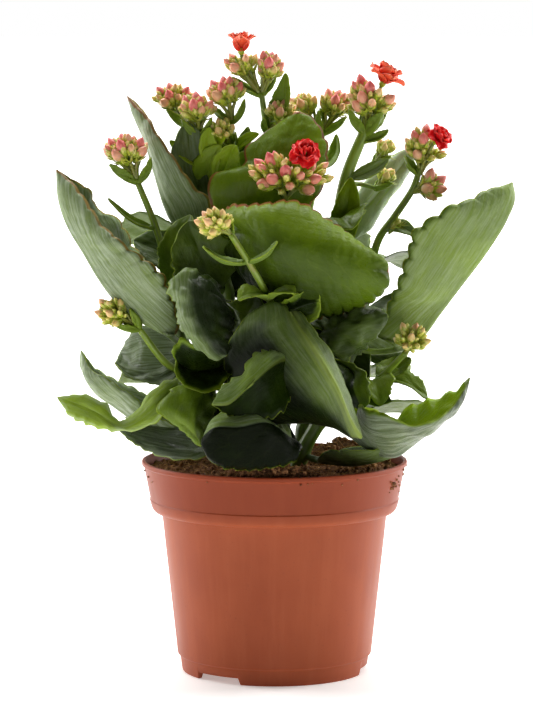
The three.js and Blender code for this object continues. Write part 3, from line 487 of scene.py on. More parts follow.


# Each leaf's tones are partly its own colour and partly painted light: leaves in shade are set dark, leaves
# lit through or lit from above are set bright.
leaves = {
    "left": [
        laid(148, lobes=13, teeth=1, notch=0.45, step=1.0, crinkle=0.15, rib=0.1, bulge=[-2, -2],
             pale=0.2, tone=(0.4, 1.4, 0.7), underTone=(0.55, 1.9, 0.8),
             shade=[-1, 0.4, 0.05, 0.1, 0.5, 0.3, 0.9, 0.7], petiole=0.17,
             mid=[[-48.6, -24, 156.2], [-61.3, -26.6, 163.5], [-69.6, -29.1, 170.9], [-78, -28.3, 181],
                  [-84.2, -25.7, 191], [-90.9, -23.1, 202.7], [-95.4, -20.6, 215.9]],
             left=[[-42.8, -26, 153.7], [-42.6, -31.3, 163.1], [-45.1, -36.7, 173.3],
                   [-48.4, -42, 182.5], [-54.1, -41.3, 188.2], [-62.4, -40.7, 193.8], [-69, -40, 199.5],
                   [-75.3, -34, 204.3], [-82.2, -28, 214.1], [-88.7, -22, 221.7]],
             right=[[-49.5, 6, 167.7], [-55.3, 6.8, 184.9], [-62.6, 7.5, 190.3], [-65.2, 7.2, 195.7],
                    [-68.3, 5, 202.2], [-73.5, 2.8, 206.4], [-79.2, -1.5, 209.8], [-82.4, -6.8, 218.2],
                    [-89.2, -12, 222.9]],
             tip=[-96.4, -18, 227.9]),
        laid(140, lobes=3, notch=0.4, step=1.8, rib=0.4, bulge=[-1, -1], tone=(0.2, 1.1, 0),
             mid=[[-43.2, -12, 142.4], [-52, -18, 138.1], [-61.7, -20, 137.9]],
             left=[[-42.9, -22, 137.2], [-47.7, -27.3, 133.4], [-56.9, -28.7, 134], [-65, -26, 136.3]],
             right=[[-44.5, 4, 149.8], [-52.7, 5.3, 155.1], [-61.7, 4, 156.1], [-68.3, 0, 147]],
             tip=[-71.2, -16, 141.5]),
        laid(108, lobes=11, teeth=1, notch=0.35, step=0.9, crinkle=0.2, rib=0.1, bulge=[-1, -2],
             pale=0.2, tone=(0.5, 1.5, 0), underTone=(0.5, 2.1, 0),
             mid=[[-47.6, -18, 107.1], [-59.8, -24.4, 115.1], [-71.7, -26, 123.8],
                  [-79.8, -24.4, 129.4], [-84.8, -21.6, 136.7]],
             left=[[-45.4, -30, 115.8], [-52.4, -33, 119.8], [-58.5, -36, 125], [-61, -37.5, 128.3],
                   [-65.1, -36, 131.2], [-69.5, -34.5, 133.7], [-75.4, -31, 137.3],
                   [-80.9, -26.5, 139.5], [-84.2, -22, 144.8]],
             right=[[-55.1, -6, 124.6], [-61.5, -4, 128], [-66.5, -2, 130.4], [-71.3, -5, 132.6],
                    [-77, -8, 136.6], [-81.2, -12, 139.7], [-84.1, -16, 144.6]],
             tip=[-85.9, -20, 147.6]),
        laid(128, lobes=4, petiole=0.06, paired=True, crinkle=0.3, rib=0.2, bulge=[1, 1],
             tone=(1.1, 0.5, 0), underTone=(1.0, 0, 0), rim=[2.4, 1.4, 1.6, 0],
             mid=[[-42.6, -34, 133.2], [-50.3, -44, 127.3], [-58, -48, 120.8], [-67.7, -48, 116.8],
                  [-77.4, -46, 122.7], [-86.2, -44, 126.4]],
             left=[[-41.5, -44, 132.2], [-46.7, -46, 123.6], [-55.4, -48, 116.8], [-68.1, -48, 114.6],
                   [-80, -46, 116.5], [-89.8, -44, 121.1]],
             right=[[-45.2, -36, 136.6], [-54.9, -37.6, 131.9], [-60.1, -40.4, 123.4],
                    [-68.3, -42.8, 118.8], [-74.4, -43.6, 127.3], [-83.7, -42, 130.6]],
             tip=[-95.5, -42, 129.1]),
        laid(100, lobes=4, step=1.6, rib=0.3, bulge=[1, 1], tone=(0.12, 0.8, 0),
             mid=[[-31, -24, 103.4], [-41.8, -36, 106.8], [-54.9, -38, 109.7]],
             left=[[-29.4, -36, 102.4], [-35.5, -39, 101], [-45.6, -42, 101.8], [-55.7, -41, 104.8],
                   [-63.2, -40, 109.1]],
             right=[[-31.5, -20, 109.2], [-39.5, -21, 114.7], [-48.3, -22, 117.1], [-56.3, -24, 115.5],
                    [-63.8, -26, 114.9]],
             tip=[-69.6, -34, 114.1]),
        small(165, [-46, -24, 186], [-37, -22, 208], [-0.6, -0.6, 0.4], 24, tone=(0.6, 0.1, 0)),
        small(110, [-50, 20, 118], [-64, 32, 106], [-0.2, 0.2, 0.95], 38),
    ],
    "frontLeft": [
        laid(187, lobes=20, petiole=0.03, teeth=1, notch=0.35, step=1.1, crinkle=0.1, soft=8, rib=0,
             bulge=[3, 4], tone=(0.42, 0.02, 1.0), underTone=(0.4, 0.1, 1.0), leftTone=(0.7, 0.1, 1.0),
             turn=0.8, shade=[1, 0.9, 0.35, 0.0, 0.6, 0.08, 0, 1.0], wave=0.1,
             mid=[[-17, -32, 201.1], [-2.1, -54, 196.6], [15.2, -60, 192.7], [32.5, -56, 189.8]],
             left=[[-22.4, -24, 208.5], [-19.6, -31.3, 213], [-11.7, -38.5, 213.8], [-2.1, -44.2, 215],
                   [7.9, -44.9, 216], [15.3, -45.6, 213.4], [22.3, -45.6, 208.2], [28.4, -44.9, 204.6],
                   [34.1, -44.2, 199.8], [38.9, -44, 195.8], [44.2, -44, 191.9], [48.5, -44, 188.8]],
             right=[[-20.6, -26, 191.9], [-12.6, -31, 179], [0.1, -36, 169.3], [12.9, -37, 164.1],
                    [24.7, -38, 163.7], [33, -38, 165.9], [40.1, -38, 169], [45.7, -40, 173.2],
                    [49.5, -42, 178.6]],
             tip=[49.4, -46, 184.6]),
        laid(175, lobes=6, petiole=0.16, notch=0.4, crinkle=0.9, rib=0.3, bulge=[2, 3],
             tone=(0.0, 0.1, 0), rightTone=(0.5, 0.9, 0), turn=0.5,
             mid=[[-29.4, -30, 177.6], [-33.8, -49.2, 182.7], [-33.2, -57.6, 173.4],
                  [-30.6, -60.8, 164.2], [-26.3, -61.2, 155.5]],
             left=[[-26.6, -40, 178.9], [-22.2, -41.3, 172], [-18.3, -42.7, 165.1],
                   [-17.8, -44, 156.8]],
             right=[[-39.5, -48, 184.8], [-45.1, -50.6, 181.1], [-46.8, -53.1, 176.5],
                    [-42.9, -54, 169.6], [-42, -54, 163.1], [-37.7, -54, 156.1], [-32.1, -54, 150.8],
                    [-26, -54, 147.8]],
             tip=[-20.7, -58, 149.5]),
        small(172, [-30, -30, 180], [-38, -34, 206], [0.2, -0.9, 0.1], 36, step=2.6,
              tone=(0.25, 0.1, 0)),
        laid(128, lobes=4, petiole=0.14, notch=0.4, step=3.2, crinkle=1.3, rib=0.3, bulge=[1, 2],
             tone=(0.3, 0.05, 0), rightTone=(0.66, 0.1, 0),
             mid=[[-26.8, -30, 132.8], [-31.3, -48, 130.4], [-33.9, -54, 125], [-34.7, -54, 118]],
             left=[[-25.8, -40, 130.4], [-25.8, -42, 123.5], [-27.5, -44, 115.8]],
             right=[[-38, -44, 137], [-44.9, -46, 132.9], [-50.1, -48, 126.9], [-50.1, -50, 121.9],
                    [-44, -50, 118.4], [-38.8, -50, 114], [-34.8, -50, 110]],
             tip=[-32.2, -50, 108.7]),
        laid(145, lobes=4, petiole=0.14, notch=0.6, crinkle=0.4, rib=0.3, tone=(0.0, 0.0, 0),
             rim=[4, 0.75, 0.1, 0], step=1.4,
             mid=[[-20.6, -30, 143.4], [-29.3, -38, 140.8], [-37.1, -42, 141.2]],
             left=[[-20.4, -50, 138.6], [-24.3, -53, 134.1], [-31.6, -56, 132.7], [-39.5, -54, 135.5],
                   [-43.4, -52, 141]],
             right=[[-22.1, -48, 149.8], [-29.5, -52, 152.8], [-35.9, -56, 154.1], [-40.7, -54, 157],
                    [-44.7, -52, 151.1]],
             tip=[-43.2, -46, 146.1]),
        small(160, [-14, -34, 156], [-8, -38, 174], [0, -0.9, 0.4], 24, tone=(0.2, 0, 0)),
        small(150, [-22, -24, 158], [-8, -30, 132], [0, -0.95, 0.3], 40, tone=(-0.1, 0, 0)),
        small(125, [-14, -26, 130], [-12, -34, 104], [0, -0.95, 0.3], 42, tone=(-0.15, 0, 0)),
    ],
    "centre": [
        laid(183, lobes=8, teeth=1, step=0.9, crinkle=0.2, rib=0.1, bulge=[1.5, 1.5],
             tone=(0.66, 0.05, 1.0), petiole=0.17,
             mid=[[-1.2, -12, 207.3], [1, -22, 221.3], [5.5, -18, 236.5]],
             left=[[-19, -12, 204.2], [-29.6, -12, 214], [-27, -12, 225.6], [-20.7, -12, 227.8],
                   [-14.5, -11.1, 229.1], [-12.7, -9.4, 237], [-5.6, -7.7, 243.2], [2.4, -6, 248.5]],
             right=[[14, -12, 209.6], [21.1, -12, 219.4], [23.7, -12, 232.7], [23.3, -10.8, 239.8],
                    [20.7, -8.4, 245.9], [16.2, -6, 250.7]],
             tip=[10.9, -8, 252.9]),
        small(160, [18, -24, 170], [24, -36, 158], [0, -0.8, 0.6], 24, tone=(0.3, 0, 0)),
        small(175, [6, -14, 180], [2, -22, 150], [0, -0.95, 0.3], 44, tone=(-0.1, 0, 0)),
        laid(170, lobes=3, notch=0.5, tone=(0.05, 0, 0),
             mid=[[-5.6, -6, 168.8], [-13.2, -14, 174]],
             left=[[-5.6, -14, 162.4], [-13.2, -14, 165.9], [-20.8, -14, 174], [-23.4, -14, 182]],
             right=[[-5.6, -14, 176.7], [-11.8, -14, 182.9], [-18.1, -14, 186.5]],
             tip=[-20.8, -12, 184.6]),
        laid(165, lobes=3, notch=0.4, tone=(-0.05, 0, 0), rim=[3, 0.6, 0.1, 0], bulge=[-3, -3],
             mid=[[0.6, -30, 163.9], [7.5, -50, 168.4], [14.5, -50, 171]],
             left=[[4, -50, 172.7], [10.1, -51.3, 175.9], [16.2, -52, 176.8], [19.6, -52, 174.7]],
             right=[[5.8, -42, 162.4], [11, -44.7, 161.3], [16.2, -47.3, 162.9], [20.1, -50, 167.9]],
             tip=[19.7, -50, 171.9]),
        laid(150, lobes=3, notch=0.5, tone=(0.1, 0, 0), leftTone=(0.55, 0.1, 0),
             mid=[[34.4, -24, 138.3], [34.6, -34, 131.5]],
             left=[[40.4, -30, 139], [42.1, -32, 132.1], [42.1, -34, 126.1]],
             right=[[29.7, -34, 137.7], [29.3, -34, 131.5], [31.5, -34, 126.1], [35, -34, 123.5]],
             tip=[38.6, -34, 122.6]),
        laid(135, lobes=3, notch=0.5, tone=(0.35, 0.2, 0),
             mid=[[32.1, -10, 127.8], [40.7, -22, 130.1]],
             left=[[33.7, -14, 131.8], [40.8, -17, 134.9], [48.7, -20, 131.6]],
             right=[[33.5, -24, 124.9], [39.7, -24, 124], [46.8, -24, 123.1]],
             tip=[52.2, -24, 124.9]),
        small(150, [14, -10, 150], [24, -22, 124], [0, -0.95, 0.3], 44, tone=(-0.05, 0, 0)),
        small(140, [22, 0, 146], [40, -10, 128], [0, -0.9, 0.4], 40, tone=(0.1, 0.1, 0)),
        laid(156, lobes=5, step=3.0, crinkle=1.8, rib=0.3, bulge=[2, 3], tone=(0.2, 0.2, 0),
             mid=[[16.6, -24, 158.8], [26.4, -44, 158.6], [38, -48, 162]],
             left=[[22.7, -30, 163.9], [31, -32.7, 166.3], [38.4, -34, 169.1], [45.9, -34, 167.8]],
             right=[[19.9, -36, 153.8], [25.6, -37.1, 148.6], [30.5, -38.3, 144.8],
                    [36.1, -39.4, 147.6], [40.9, -39.7, 151.1], [40.9, -39.1, 154.1],
                    [45.8, -38.6, 156.3], [46.7, -38, 160.2]],
             tip=[49.5, -44, 165.2]),
    ],
    "front": [
        laid(124, lobes=10, petiole=0.16, teeth=1, notch=0.35, step=0.8, crinkle=0.15, rib=1.6,
             bulge=[-3, 0], pale=0.35, tone=(0.5, 0.5, 0), underTone=(0.36, 0.5, 0),
             shade=[-1, 0.22, 0.5, 0.12, 0.5, -0.15, 0, 0], wave=0.2,
             mid=[[1, -28, 150.8], [3.6, -41.5, 169.3], [10.1, -54, 161.3], [16, -64.5, 153.7],
                  [22.4, -72, 144.5], [26.6, -73.5, 137.4], [30.1, -73, 129.5], [32.8, -71, 122.8]],
             left=[[-2.9, -46, 169.7], [-6.9, -55.8, 165.8], [-13.8, -60.8, 165.5], [-17.6, -61, 159.4],
                   [-21.2, -54, 150.4], [-21.3, -45, 138.9], [-16.1, -37.6, 126.6], [-5.6, -36.2, 118],
                   [11.1, -40.8, 117.2], [26.3, -49.4, 116.5], [34.3, -62, 115.5]],
             right=[[9.7, -46, 168], [15.3, -51.1, 162.8], [19.6, -56.3, 157.2], [23.9, -59.7, 151.9],
                    [28.6, -62.3, 142.6], [31.6, -63.4, 134.9], [34.3, -61.7, 126.8], [37, -60, 118.3]],
             tip=[37.6, -68, 114.6]),
        laid(126, lobes=5, notch=0.5, step=2.8, crinkle=0.4, rib=1.0, bulge=[-2, 1],
             tone=(-0.1, 0.0, 0), rightTone=(0.5, 0.5, 0), finish=onShadedBlade,
             mid=[[11.1, -40, 141.9], [2.7, -62.4, 147.8], [-5.5, -72.8, 142.5], [-13.7, -76, 135.1],
                  [-20.1, -75.4, 130.2]],
             left=[[7.5, -56, 131.4], [4, -62, 126], [-3, -66.8, 121.8], [-11.6, -69.2, 121.2],
                   [-18.9, -70, 123.9], [-24, -70, 127]],
             right=[[1.8, -60, 150.6], [-5.1, -62.1, 152.1], [-9.4, -64.3, 150.2],
                    [-12.4, -66.1, 145.6], [-14.6, -67.9, 141.9], [-18, -69.3, 140.8],
                    [-22.7, -70.1, 137.8], [-24.9, -71, 134]],
             tip=[-27, -73, 129.5]),
        laid(116, lobes=4, petiole=0.12, step=1.6, crinkle=0.3, rib=0.4, bulge=[1, 0],
             tone=(-0.3, 0.0, 0), rightTone=(0.6, 1.0, 0), finish=onShadedBlade,
             mid=[[7.6, -44, 110.5], [-3.8, -70, 121.3], [-15.8, -76, 119.9], [-25.3, -76, 119.9]],
             left=[[11.9, -52, 107.2], [8.3, -59, 102.9], [-3.8, -66, 100.8], [-15.9, -69, 100.3],
                   [-24.1, -72, 102.9], [-29.2, -71, 107.1], [-31.4, -70, 111.4]],
             right=[[-5.5, -62, 122.9], [-11.2, -63, 127], [-16.8, -64, 128.9], [-21.5, -64, 126.7],
                    [-27.2, -64, 122.3]],
             tip=[-30.6, -68, 115.4]),
    ],
    "right": [
        laid(148, lobes=15, teeth=1, step=1.3, crinkle=0.1, rib=0, bulge=[-1, -1.5], pale=0.3,
             tone=(0.7, 0.35, 0.15), underTone=(0.72, 0.8, 0.2), wave=0.1, petiole=0.17,
             mid=[[46.5, -4, 145.2], [61.7, -7.4, 149.6], [74, -10.6, 163.8], [87.1, -12.9, 181.3],
                  [97.3, -13.4, 196.7], [103.1, -12.3, 206], [106.7, -10.3, 213.9]],
             left=[[50.8, 16, 153.1], [59.1, 19, 166.6], [64.6, 22, 180.1], [70, 21, 191.1],
                   [79.9, 20, 200.3], [92.1, 12, 210.8], [101.4, 4, 216.7]],
             right=[[44.7, -6, 152.6], [48.8, -14, 162.4], [51.2, -22, 171.1], [53.9, -30, 177.6],
                    [56.1, -31.3, 185.2], [58.6, -32.7, 192.4], [60.3, -34, 200.8],
                    [65.6, -32.7, 205.6], [71.3, -31.3, 209], [77.5, -30, 212.9], [86.2, -24, 215.2],
                    [93.2, -18, 218.8], [100.7, -12, 220.3]],
             tip=[105.9, -8, 221.6]),
        laid(116, lobes=5, petiole=0.06, notch=0.2, step=1.2, crinkle=0.6, rib=0.1, bulge=[-1, -2],
             pale=0, tone=(1.5, 0.0, 0), underTone=(0.1, 1.2, 0),
             mid=[[34.4, -26, 110], [45.3, -32.9, 103.7], [53.5, -38, 103.1], [59.2, -38, 106.6],
                  [67.6, -36.3, 112.6], [75.7, -32.9, 119.3], [82.5, -30.3, 125.7]],
             left=[[39.1, -14, 121.9], [49.1, -11.6, 118], [54.1, -9.2, 115], [56.9, -7.6, 118.4],
                   [61.4, -6.8, 121.5], [65, -6, 121.4], [68.9, -8.4, 124.9], [72.8, -10.8, 124.7],
                   [77.6, -14, 129.1], [80.5, -18, 128.7], [84.2, -22, 133.6]],
             right=[[35.1, -30, 117.6], [37.5, -38.9, 125.8], [39.9, -47.8, 124.7], [46.3, -52, 123.9],
                    [51, -54.7, 122.5], [59.3, -54.2, 118.9], [67.8, -50.7, 119.8],
                    [74.1, -46.2, 122.3], [79.3, -39.1, 126.7], [83.6, -32, 132.1]],
             tip=[86.3, -28, 136.4]),
        small(99, [36, -28, 93], [57, -34, 104], [-0.1, 0.1, 0.99], 26, fold=35, tone=(0.2, 0.4, 0)),
    ],
    "backRight": [
        small(190, [26, -14, 214], [34, -27, 202], [0, -0.6, 0.8], 28, tone=(0.6, 0, 0)),
        small(182, [32, -14, 200], [34, -10, 224], [-0.2, -0.9, 0.2], 14, tone=(0.8, 0, 0)),
        leaf(150, [52, 26, 168], [62, 36, 152], [0.1, 0.3, 0.95], 44, fold=20, tone=(0.4, 0.6, 0)),
        leaf(125, [40, 50, 130], [62, 66, 126], [0, 0.1, 0.99], 40, fold=25, tone=(0.4, 0.6, 0)),
        small(172, [50, 34, 192], [62, 52, 178], [0.2, 0.3, 0.9], 42, tone=(0.4, 0.6, 0)),
        small(138, [44, 34, 156], [56, 50, 132], [0.2, 0.8, 0.5], 42, tone=(0.4, 0.6, 0)),
        small(108, [56, 22, 120], [78, 28, 112], [0, 0.1, 0.99], 38, tone=(0.4, 0.6, 0)),
    ],
    "backLeft": [
        laid(180, lobes=10, teeth=1, step=0.9, crinkle=0.15, rib=0.1, bulge=[-2, -2], pale=0.2,
             tone=(0.4, 1.3, 0.7), underTone=(0.45, 1.7, 0.9), petiole=0.17,
             mid=[[-31.4, 8, 194.8], [-44.4, 4.6, 203.1], [-48.3, 1.1, 210.6], [-51.9, 1.7, 220],
                  [-55.5, 4.3, 230.2], [-58.7, 6.9, 240.4], [-62.8, 9.4, 249.7]],
             left=[[-26.2, -8, 204], [-29.7, -9.7, 215.2], [-35.9, -11.4, 220.2], [-41.2, -10.9, 228.2],
                   [-45.7, -9.1, 234.4], [-51.6, -6, 242.2], [-55.7, 0, 249.6], [-61.3, 6, 255.2]],
             right=[[-31.2, 22, 209.8], [-40.3, 22.8, 221.1], [-46.6, 23.6, 231.1],
                    [-52.5, 22.4, 240.7], [-56.9, 19.2, 249], [-61.7, 16, 255.8]],
             tip=[-66.2, 12, 259.6]),
        small(188, [-37, 4, 218], [-39, 2, 248], [0.1, -0.9, 0.3], 26, tone=(0.3, 0.7, 0)),
        small(172, [-44, 16, 186], [-64, 12, 194], [0, -0.7, 0.7], 28, tone=(0.3, 0.4, 0)),
        leaf(160, [-50, 46, 178], [-64, 58, 160], [-0.1, 0.3, 0.95], 44, fold=20),
        leaf(125, [-48, 34, 130], [-72, 42, 126], [0, 0.1, 0.99], 40, fold=25),
        small(176, [-52, 40, 205], [-70, 48, 190], [-0.3, 0.5, 0.8], 42),
        small(104, [-32, 50, 112], [-38, 64, 98], [0, 0.1, 0.99], 36),
    ],
    "back": [
        laid(190, lobes=5, teeth=1, step=0.8, crinkle=0.6, rib=1, bulge=[2, 2], tone=(2, 6, 0),
             underTone=(2, 6, 0),
             mid=[[34.7, 30, 194.1], [40.6, 30, 206.1], [49.7, 30, 217.5], [58.4, 30, 227.6]],
             left=[[32.8, 30, 202.4], [37.4, 30, 213.4], [45.6, 30, 224.8], [54.2, 30, 232.2],
                   [60.6, 30, 234.9]],
             right=[[44, 34, 197.5], [50.8, 34, 208.6], [58.1, 34, 217.8], [63, 32, 225.7],
                    [64.3, 30, 231.2]],
             tip=[64.7, 30, 235.4]),
        leaf(184, [4, 68, 200], [0, 79, 178], [0, 0.5, 0.86], 48, fold=10),
        small(172, [24, 62, 196], [36, 72, 172], [0.2, 0.6, 0.78], 46),
        small(164, [-18, 62, 186], [-30, 72, 162], [-0.2, 0.6, 0.78], 46),
        small(140, [-4, 60, 164], [-8, 64, 138], [0, 0.8, 0.6], 42),
        small(112, [6, 60, 126], [4, 78, 104], [0, 0.5, 0.86], 44),
        leaf(145, [26, 64, 152], [25, 79, 142], [0.1, 0.3, 0.95], 42, fold=25),
        leaf(130, [-23, 62, 136], [-28, 77, 132], [0, 0.2, 0.97], 42, fold=25),
    ],
}


# round lobes with sharp notches, a little uneven and different on the two margins, with small teeth on them
def scallops(shape, u, rc, ends, offset, depth):
    half = (u >= 0).astype(int)  # 0 on the left, 1 on the right
    drift = np.sin(fullTurn * rc * (1.3 + 0.7 * half) + offset[half, 0])
    phase = shape["lobes"] * rc + ends * leafForm["lobeDrift"] * drift
    uneven = (1 + 0.35 * np.sin(5 * rc + offset[half, 1])) * depth[half, 0]
    deep = leafForm["lobeDepth"] * shape["notch"] * uneven
    scallop = (np.abs(np.sin(math.pi * phase)) - 0.6) * deep * np.minimum(1, 3 * rc)
    # each tooth points towards the tip
    tooth = (shape["teeth"] * phase) % 1
    step = shape["step"] * min(1, shape["width"] / leafForm["fullTeethFrom"])
    tooth = (tooth ** 1.3 * np.clip((1 - tooth) * 5, 0, 1) - 0.4) * ends * step
    return scallop, tooth, np.sin(math.pi * phase + offset[half, 1]) * ends


# half the blade's width, no less than the petiole's
def leafReach(blade, s):
    return np.maximum(blade, leafForm["petioleRadius"] * np.minimum(1, 6 * (1 - s)))


# the blade's middle sheet from its midrib, its facing and its width, folded at the midrib
def foldedSheet(shape, s, u, r, rc, scallop, tooth):
    foot, via, tip, up = (np.asarray(shape[key], float) for key in ("foot", "via", "tip", "face"))
    midrib = (1 - s) ** 2 * foot + 2 * s * (1 - s) * via + s * s * tip
    forward = unit(2 * (1 - s) * (via - foot) + 2 * s * (tip - via))
    up = unit(up)
    up = unit(up - forward * np.sum(up * forward, 1, keepdims=True))
    right = np.cross(forward, up)
    oval = np.sin(math.pi * rc ** leafForm["shoulder"]).clip(0) ** leafForm["blunt"]
    blade = shape["width"] / 2 * np.maximum(oval * (1 + scallop), 0.04)
    width = leafReach(np.where(r > 0, blade + tooth, 0), s)
    away, soft = np.abs(u), leafForm["midribSoftness"]
    valley = np.sqrt(away ** 2 + soft ** 2) - soft
    spread = np.clip(r / leafForm["foldFrom"], 0, 1) * np.clip(8 * (1 - r), 0, 1)
    lift = np.radians(shape["fold"]) * spread
    grid = midrib[:, None] + right[:, None] * (np.sign(u) * width * away * np.cos(lift))[..., None]
    return grid + up[:, None] * (width * valley * np.sin(lift))[..., None], width, midrib, shape["width"]


# the same sheet through a midrib and two margins
def laidSheet(shape, s, u, r, rc, scallop, tooth):
    def through(*points):
        return smoothPath(np.vstack(points), leafForm["pathPoints"], not shape["paired"])

    onRight = u >= 0
    foot, tip = shape["foot"], np.asarray(shape["tip"], float)
    path = through(foot, shape["mid"], tip)
    midrib = sample(path, s[:, 0])
    joint = sample(path, shape["petiole"])
    forward = unit(np.gradient(midrib, axis=0))
    reach = [sample(through(joint, shape[key], tip), rc[:, 0]) - midrib for key in ("left", "right")]
    size = [np.linalg.norm(way, axis=1) for way in reach]
    first = np.argmax(r[:, 0] > 0.1)
    side = unit(unit(reach[1][first]) - unit(reach[0][first]))
    side = unit(side - forward * np.sum(side * forward, 1, keepdims=True))
    ramp = smoothStep(r, 0.0, 0.12)
    ways = [unit(unit(way) * ramp + side * sign * (1 - ramp)) for way, sign in zip(reach, (-1, 1))]
    outward = np.where(onRight[..., None], ways[1][:, None], ways[0][:, None])
    full = np.where(onRight, size[1][:, None], size[0][:, None])
    width = leafReach(np.where(r > 0, full * (1 + scallop) + tooth, 0), s)
    away = np.abs(u)
    ups = np.cross(forward, ways[0])[:, None], np.cross(ways[1], forward)[:, None]
    up = unit(np.where(onRight[..., None], ups[1], ups[0]))
    swell = np.where(onRight, shape["bulge"][1], shape["bulge"][0]) * 4 * away * (1 - away)
    swell = swell * np.minimum(1, width / 8) * ramp
    grid = midrib[:, None] + outward * (width * away)[..., None] + up * swell[..., None]
    return grid, width, midrib, 2 * max(size[0].max(), size[1].max())


def facing(grid):
    return unit(np.cross(np.gradient(grid, axis=1), np.gradient(grid, axis=0)))


# how far the blade lifts out of its sheet: the margin waves with the lobes, and the blade is uneven
def leafLift(shape, u, rc, ends, wave, offset, breadth):
    away = np.abs(u)
    size = min(1.0, breadth / leafForm["fullWavesFrom"])
    lift = leafForm["wave"] * shape["wave"] * size * away ** 2.5 * wave
    dimple = np.sin(9 * rc + 3.1 * u + offset[0, 0]) * np.sin(4.3 * u + 2 * rc + offset[1, 0])
    lift = lift + leafForm["dimple"] * size * dimple * ends * (1 - away ** 4)
    bumps = np.sin(fullTurn * (1.3 * shape["lobes"] * rc + 0.5 * away) + offset[0, 1])
    bumps = bumps * np.sin(7 * u + 3 * rc)
    return lift + shape["crinkle"] * size * bumps * ends * (1 - away ** 4) * np.minimum(1, 6 * away)


# half the thickness above and below the sheet: a round petiole that thins into a blade with a raised rib
def leafThickness(u, r, rc, distance):
    away, form = np.abs(u), leafForm
    ribWidth = form["petioleRadius"] * (1 - 0.6 * rc) * 1.1
    rib = form["petioleHeight"] * (1 - 0.75 * rc) * np.sqrt(np.clip(1 - (distance / ribWidth) ** 2, 0, 1))
    sheet = form["thickness"] / 2 * np.sqrt(np.clip(1 - away ** 6, 0, 1))
    petiole = form["petioleHeight"] * np.sqrt(np.clip(1 - away ** 2, 0, 1))
    groove = form["groove"] * np.exp(-(distance / form["grooveWidth"]) ** 2) * (1 - 0.6 * rc)
    intoBlade = smoothStep(r, 0.0, 0.1)
    above = (1 - intoBlade) * petiole + intoBlade * (sheet - groove * (1 - away ** 2))
    below = (1 - intoBlade) * petiole + intoBlade * np.maximum(sheet, rib * (away < 1))
    above[:, [0, -1]] = 0
    below[:, [0, -1]] = 0
    return above, below


# the tone of the upper and of the lower side, each with the same layers over it: painted light on one half,
# painted shade over part of the blade, and a rim
def leafTones(shape, u, rc, edge):
    away = np.abs(u)
    # a half's own tone is painted light: the half that faces the light is set brighter
    layers = [(smoothStep(away, 0.0, shape["turn"]) * half, shape[key])
              for key, half in (("rightTone", u > 0), ("leftTone", u < 0)) if key in shape]
    # shade is painted shade: it darkens part of one half towards its tone
    if "shade" in shape:
        side, foot, tip, inner, outer, *tone = shape["shade"]
        layers.append((smoothStep(away, inner, outer) * smoothStep(rc, foot, tip) * (u * side > 0), tone))
    if "rim" in shape:
        reach, *tone = shape["rim"]
        layers.append((smoothStep(-edge, -reach, -0.5 * reach), tone))
    for key in ("tone", "underTone"):
        face = everyPoint(shape.get(key, shape["tone"]), edge.size).reshape(*edge.shape, 3)
        for share, tone in layers:
            face = face + share[..., None] * (np.asarray(tone, float) - face)
        yield face


def growLeaf(pile, shape, seed, finish=0, fine=1.0):
    chance = np.random.default_rng(seed)
    form, petiole = leafForm, shape["petiole"]
    q = np.linspace(0, 1, int(fine * form["rowsPerLobe"] * shape["lobes"]) + 1)
    q = (1 - form["crowdEnds"]) * q + form["crowdEnds"] * (0.5 - 0.5 * np.cos(math.pi * q))
    s = np.concatenate([np.linspace(0, petiole, form["petioleRows"] + 1)[:-1], petiole + (1 - petiole) * q])
    s[-1] = form["lastRow"]
    t = np.linspace(-1, 1, form["columns"])
    # s runs from foot to tip and u from the left margin to the right; r and rc leave the petiole out
    s, u = s[:, None], (np.sign(t) * np.abs(t) ** form["crowdMidrib"])[None, :]
    r = (s - petiole) / (1 - petiole)
    rc = np.clip(r, 0, 1)
    ends = np.minimum(1, 5 * rc) * np.minimum(1, 5 * (1 - rc))
    offset, depth = chance.uniform(0, 6.3, (2, 2)), chance.uniform(0.8, 1.25, (2, 2))
    scallop, tooth, wave = scallops(shape, u, rc, ends, offset, depth)
    makeSheet = laidSheet if "mid" in shape else foldedSheet
    grid, width, midrib, breadth = makeSheet(shape, s, u, r, rc, scallop, tooth)
    for _ in range(shape["soft"]):
        grid[:, 4:-4] = 0.5 * grid[:, 4:-4] + 0.25 * (grid[:, 3:-5] + grid[:, 5:-3])
    grid = grid + facing(grid) * leafLift(shape, u, rc, ends, wave, offset, breadth)[..., None]
    normal = facing(grid)
    distance = width * np.abs(u)
    above, below = leafThickness(u, r, rc, distance)

    def bothSides(upper, lower):
        return np.concatenate([upper, lower[:, 1:-1][:, ::-1]], 1)

    onSheet = triple(distance * np.sign(u), s * lengthAlong(midrib)[-1], seed % 97 * 13.0)
    edge = width * (1 - np.abs(u)) + 3 * (1 - smoothStep(r, 0.0, 0.1))
    ribLine = distance + 4 * (1 - shape["rib"])
    addLoft(pile, bothSides(grid + normal * above[..., None], grid - normal * below[..., None]), finish,
            bothSides(onSheet, onSheet), bothSides(*leafTones(shape, u, rc, edge)),
            bothSides(triple(edge, ribLine, 0), triple(edge, ribLine, shape["pale"])))


def growStem(pile, path, footRadius, topRadius, sides, seed, knuckles=(), red=0.0, finish=0):
    length = lengthAlong(path)
    radii = footRadius + (topRadius - footRadius) * length / length[-1]
    for height in knuckles:
        distance = np.abs(path[:, 2] - height) / stemForm["knuckleLength"]
        radii = radii + stemForm["knuckle"] * np.exp(-distance ** 2)
    angle = roundAngles(sides)
    uneven = 1 + 0.05 * np.sin(2 * angle + seed)[None] + 0.02 * np.sin(5 * angle)[None]
    addLoft(pile, tubeRings(path, radii, sides, uneven), finish, tubePlace(path, sides, seed % 50),
            (0.5, 0, red))


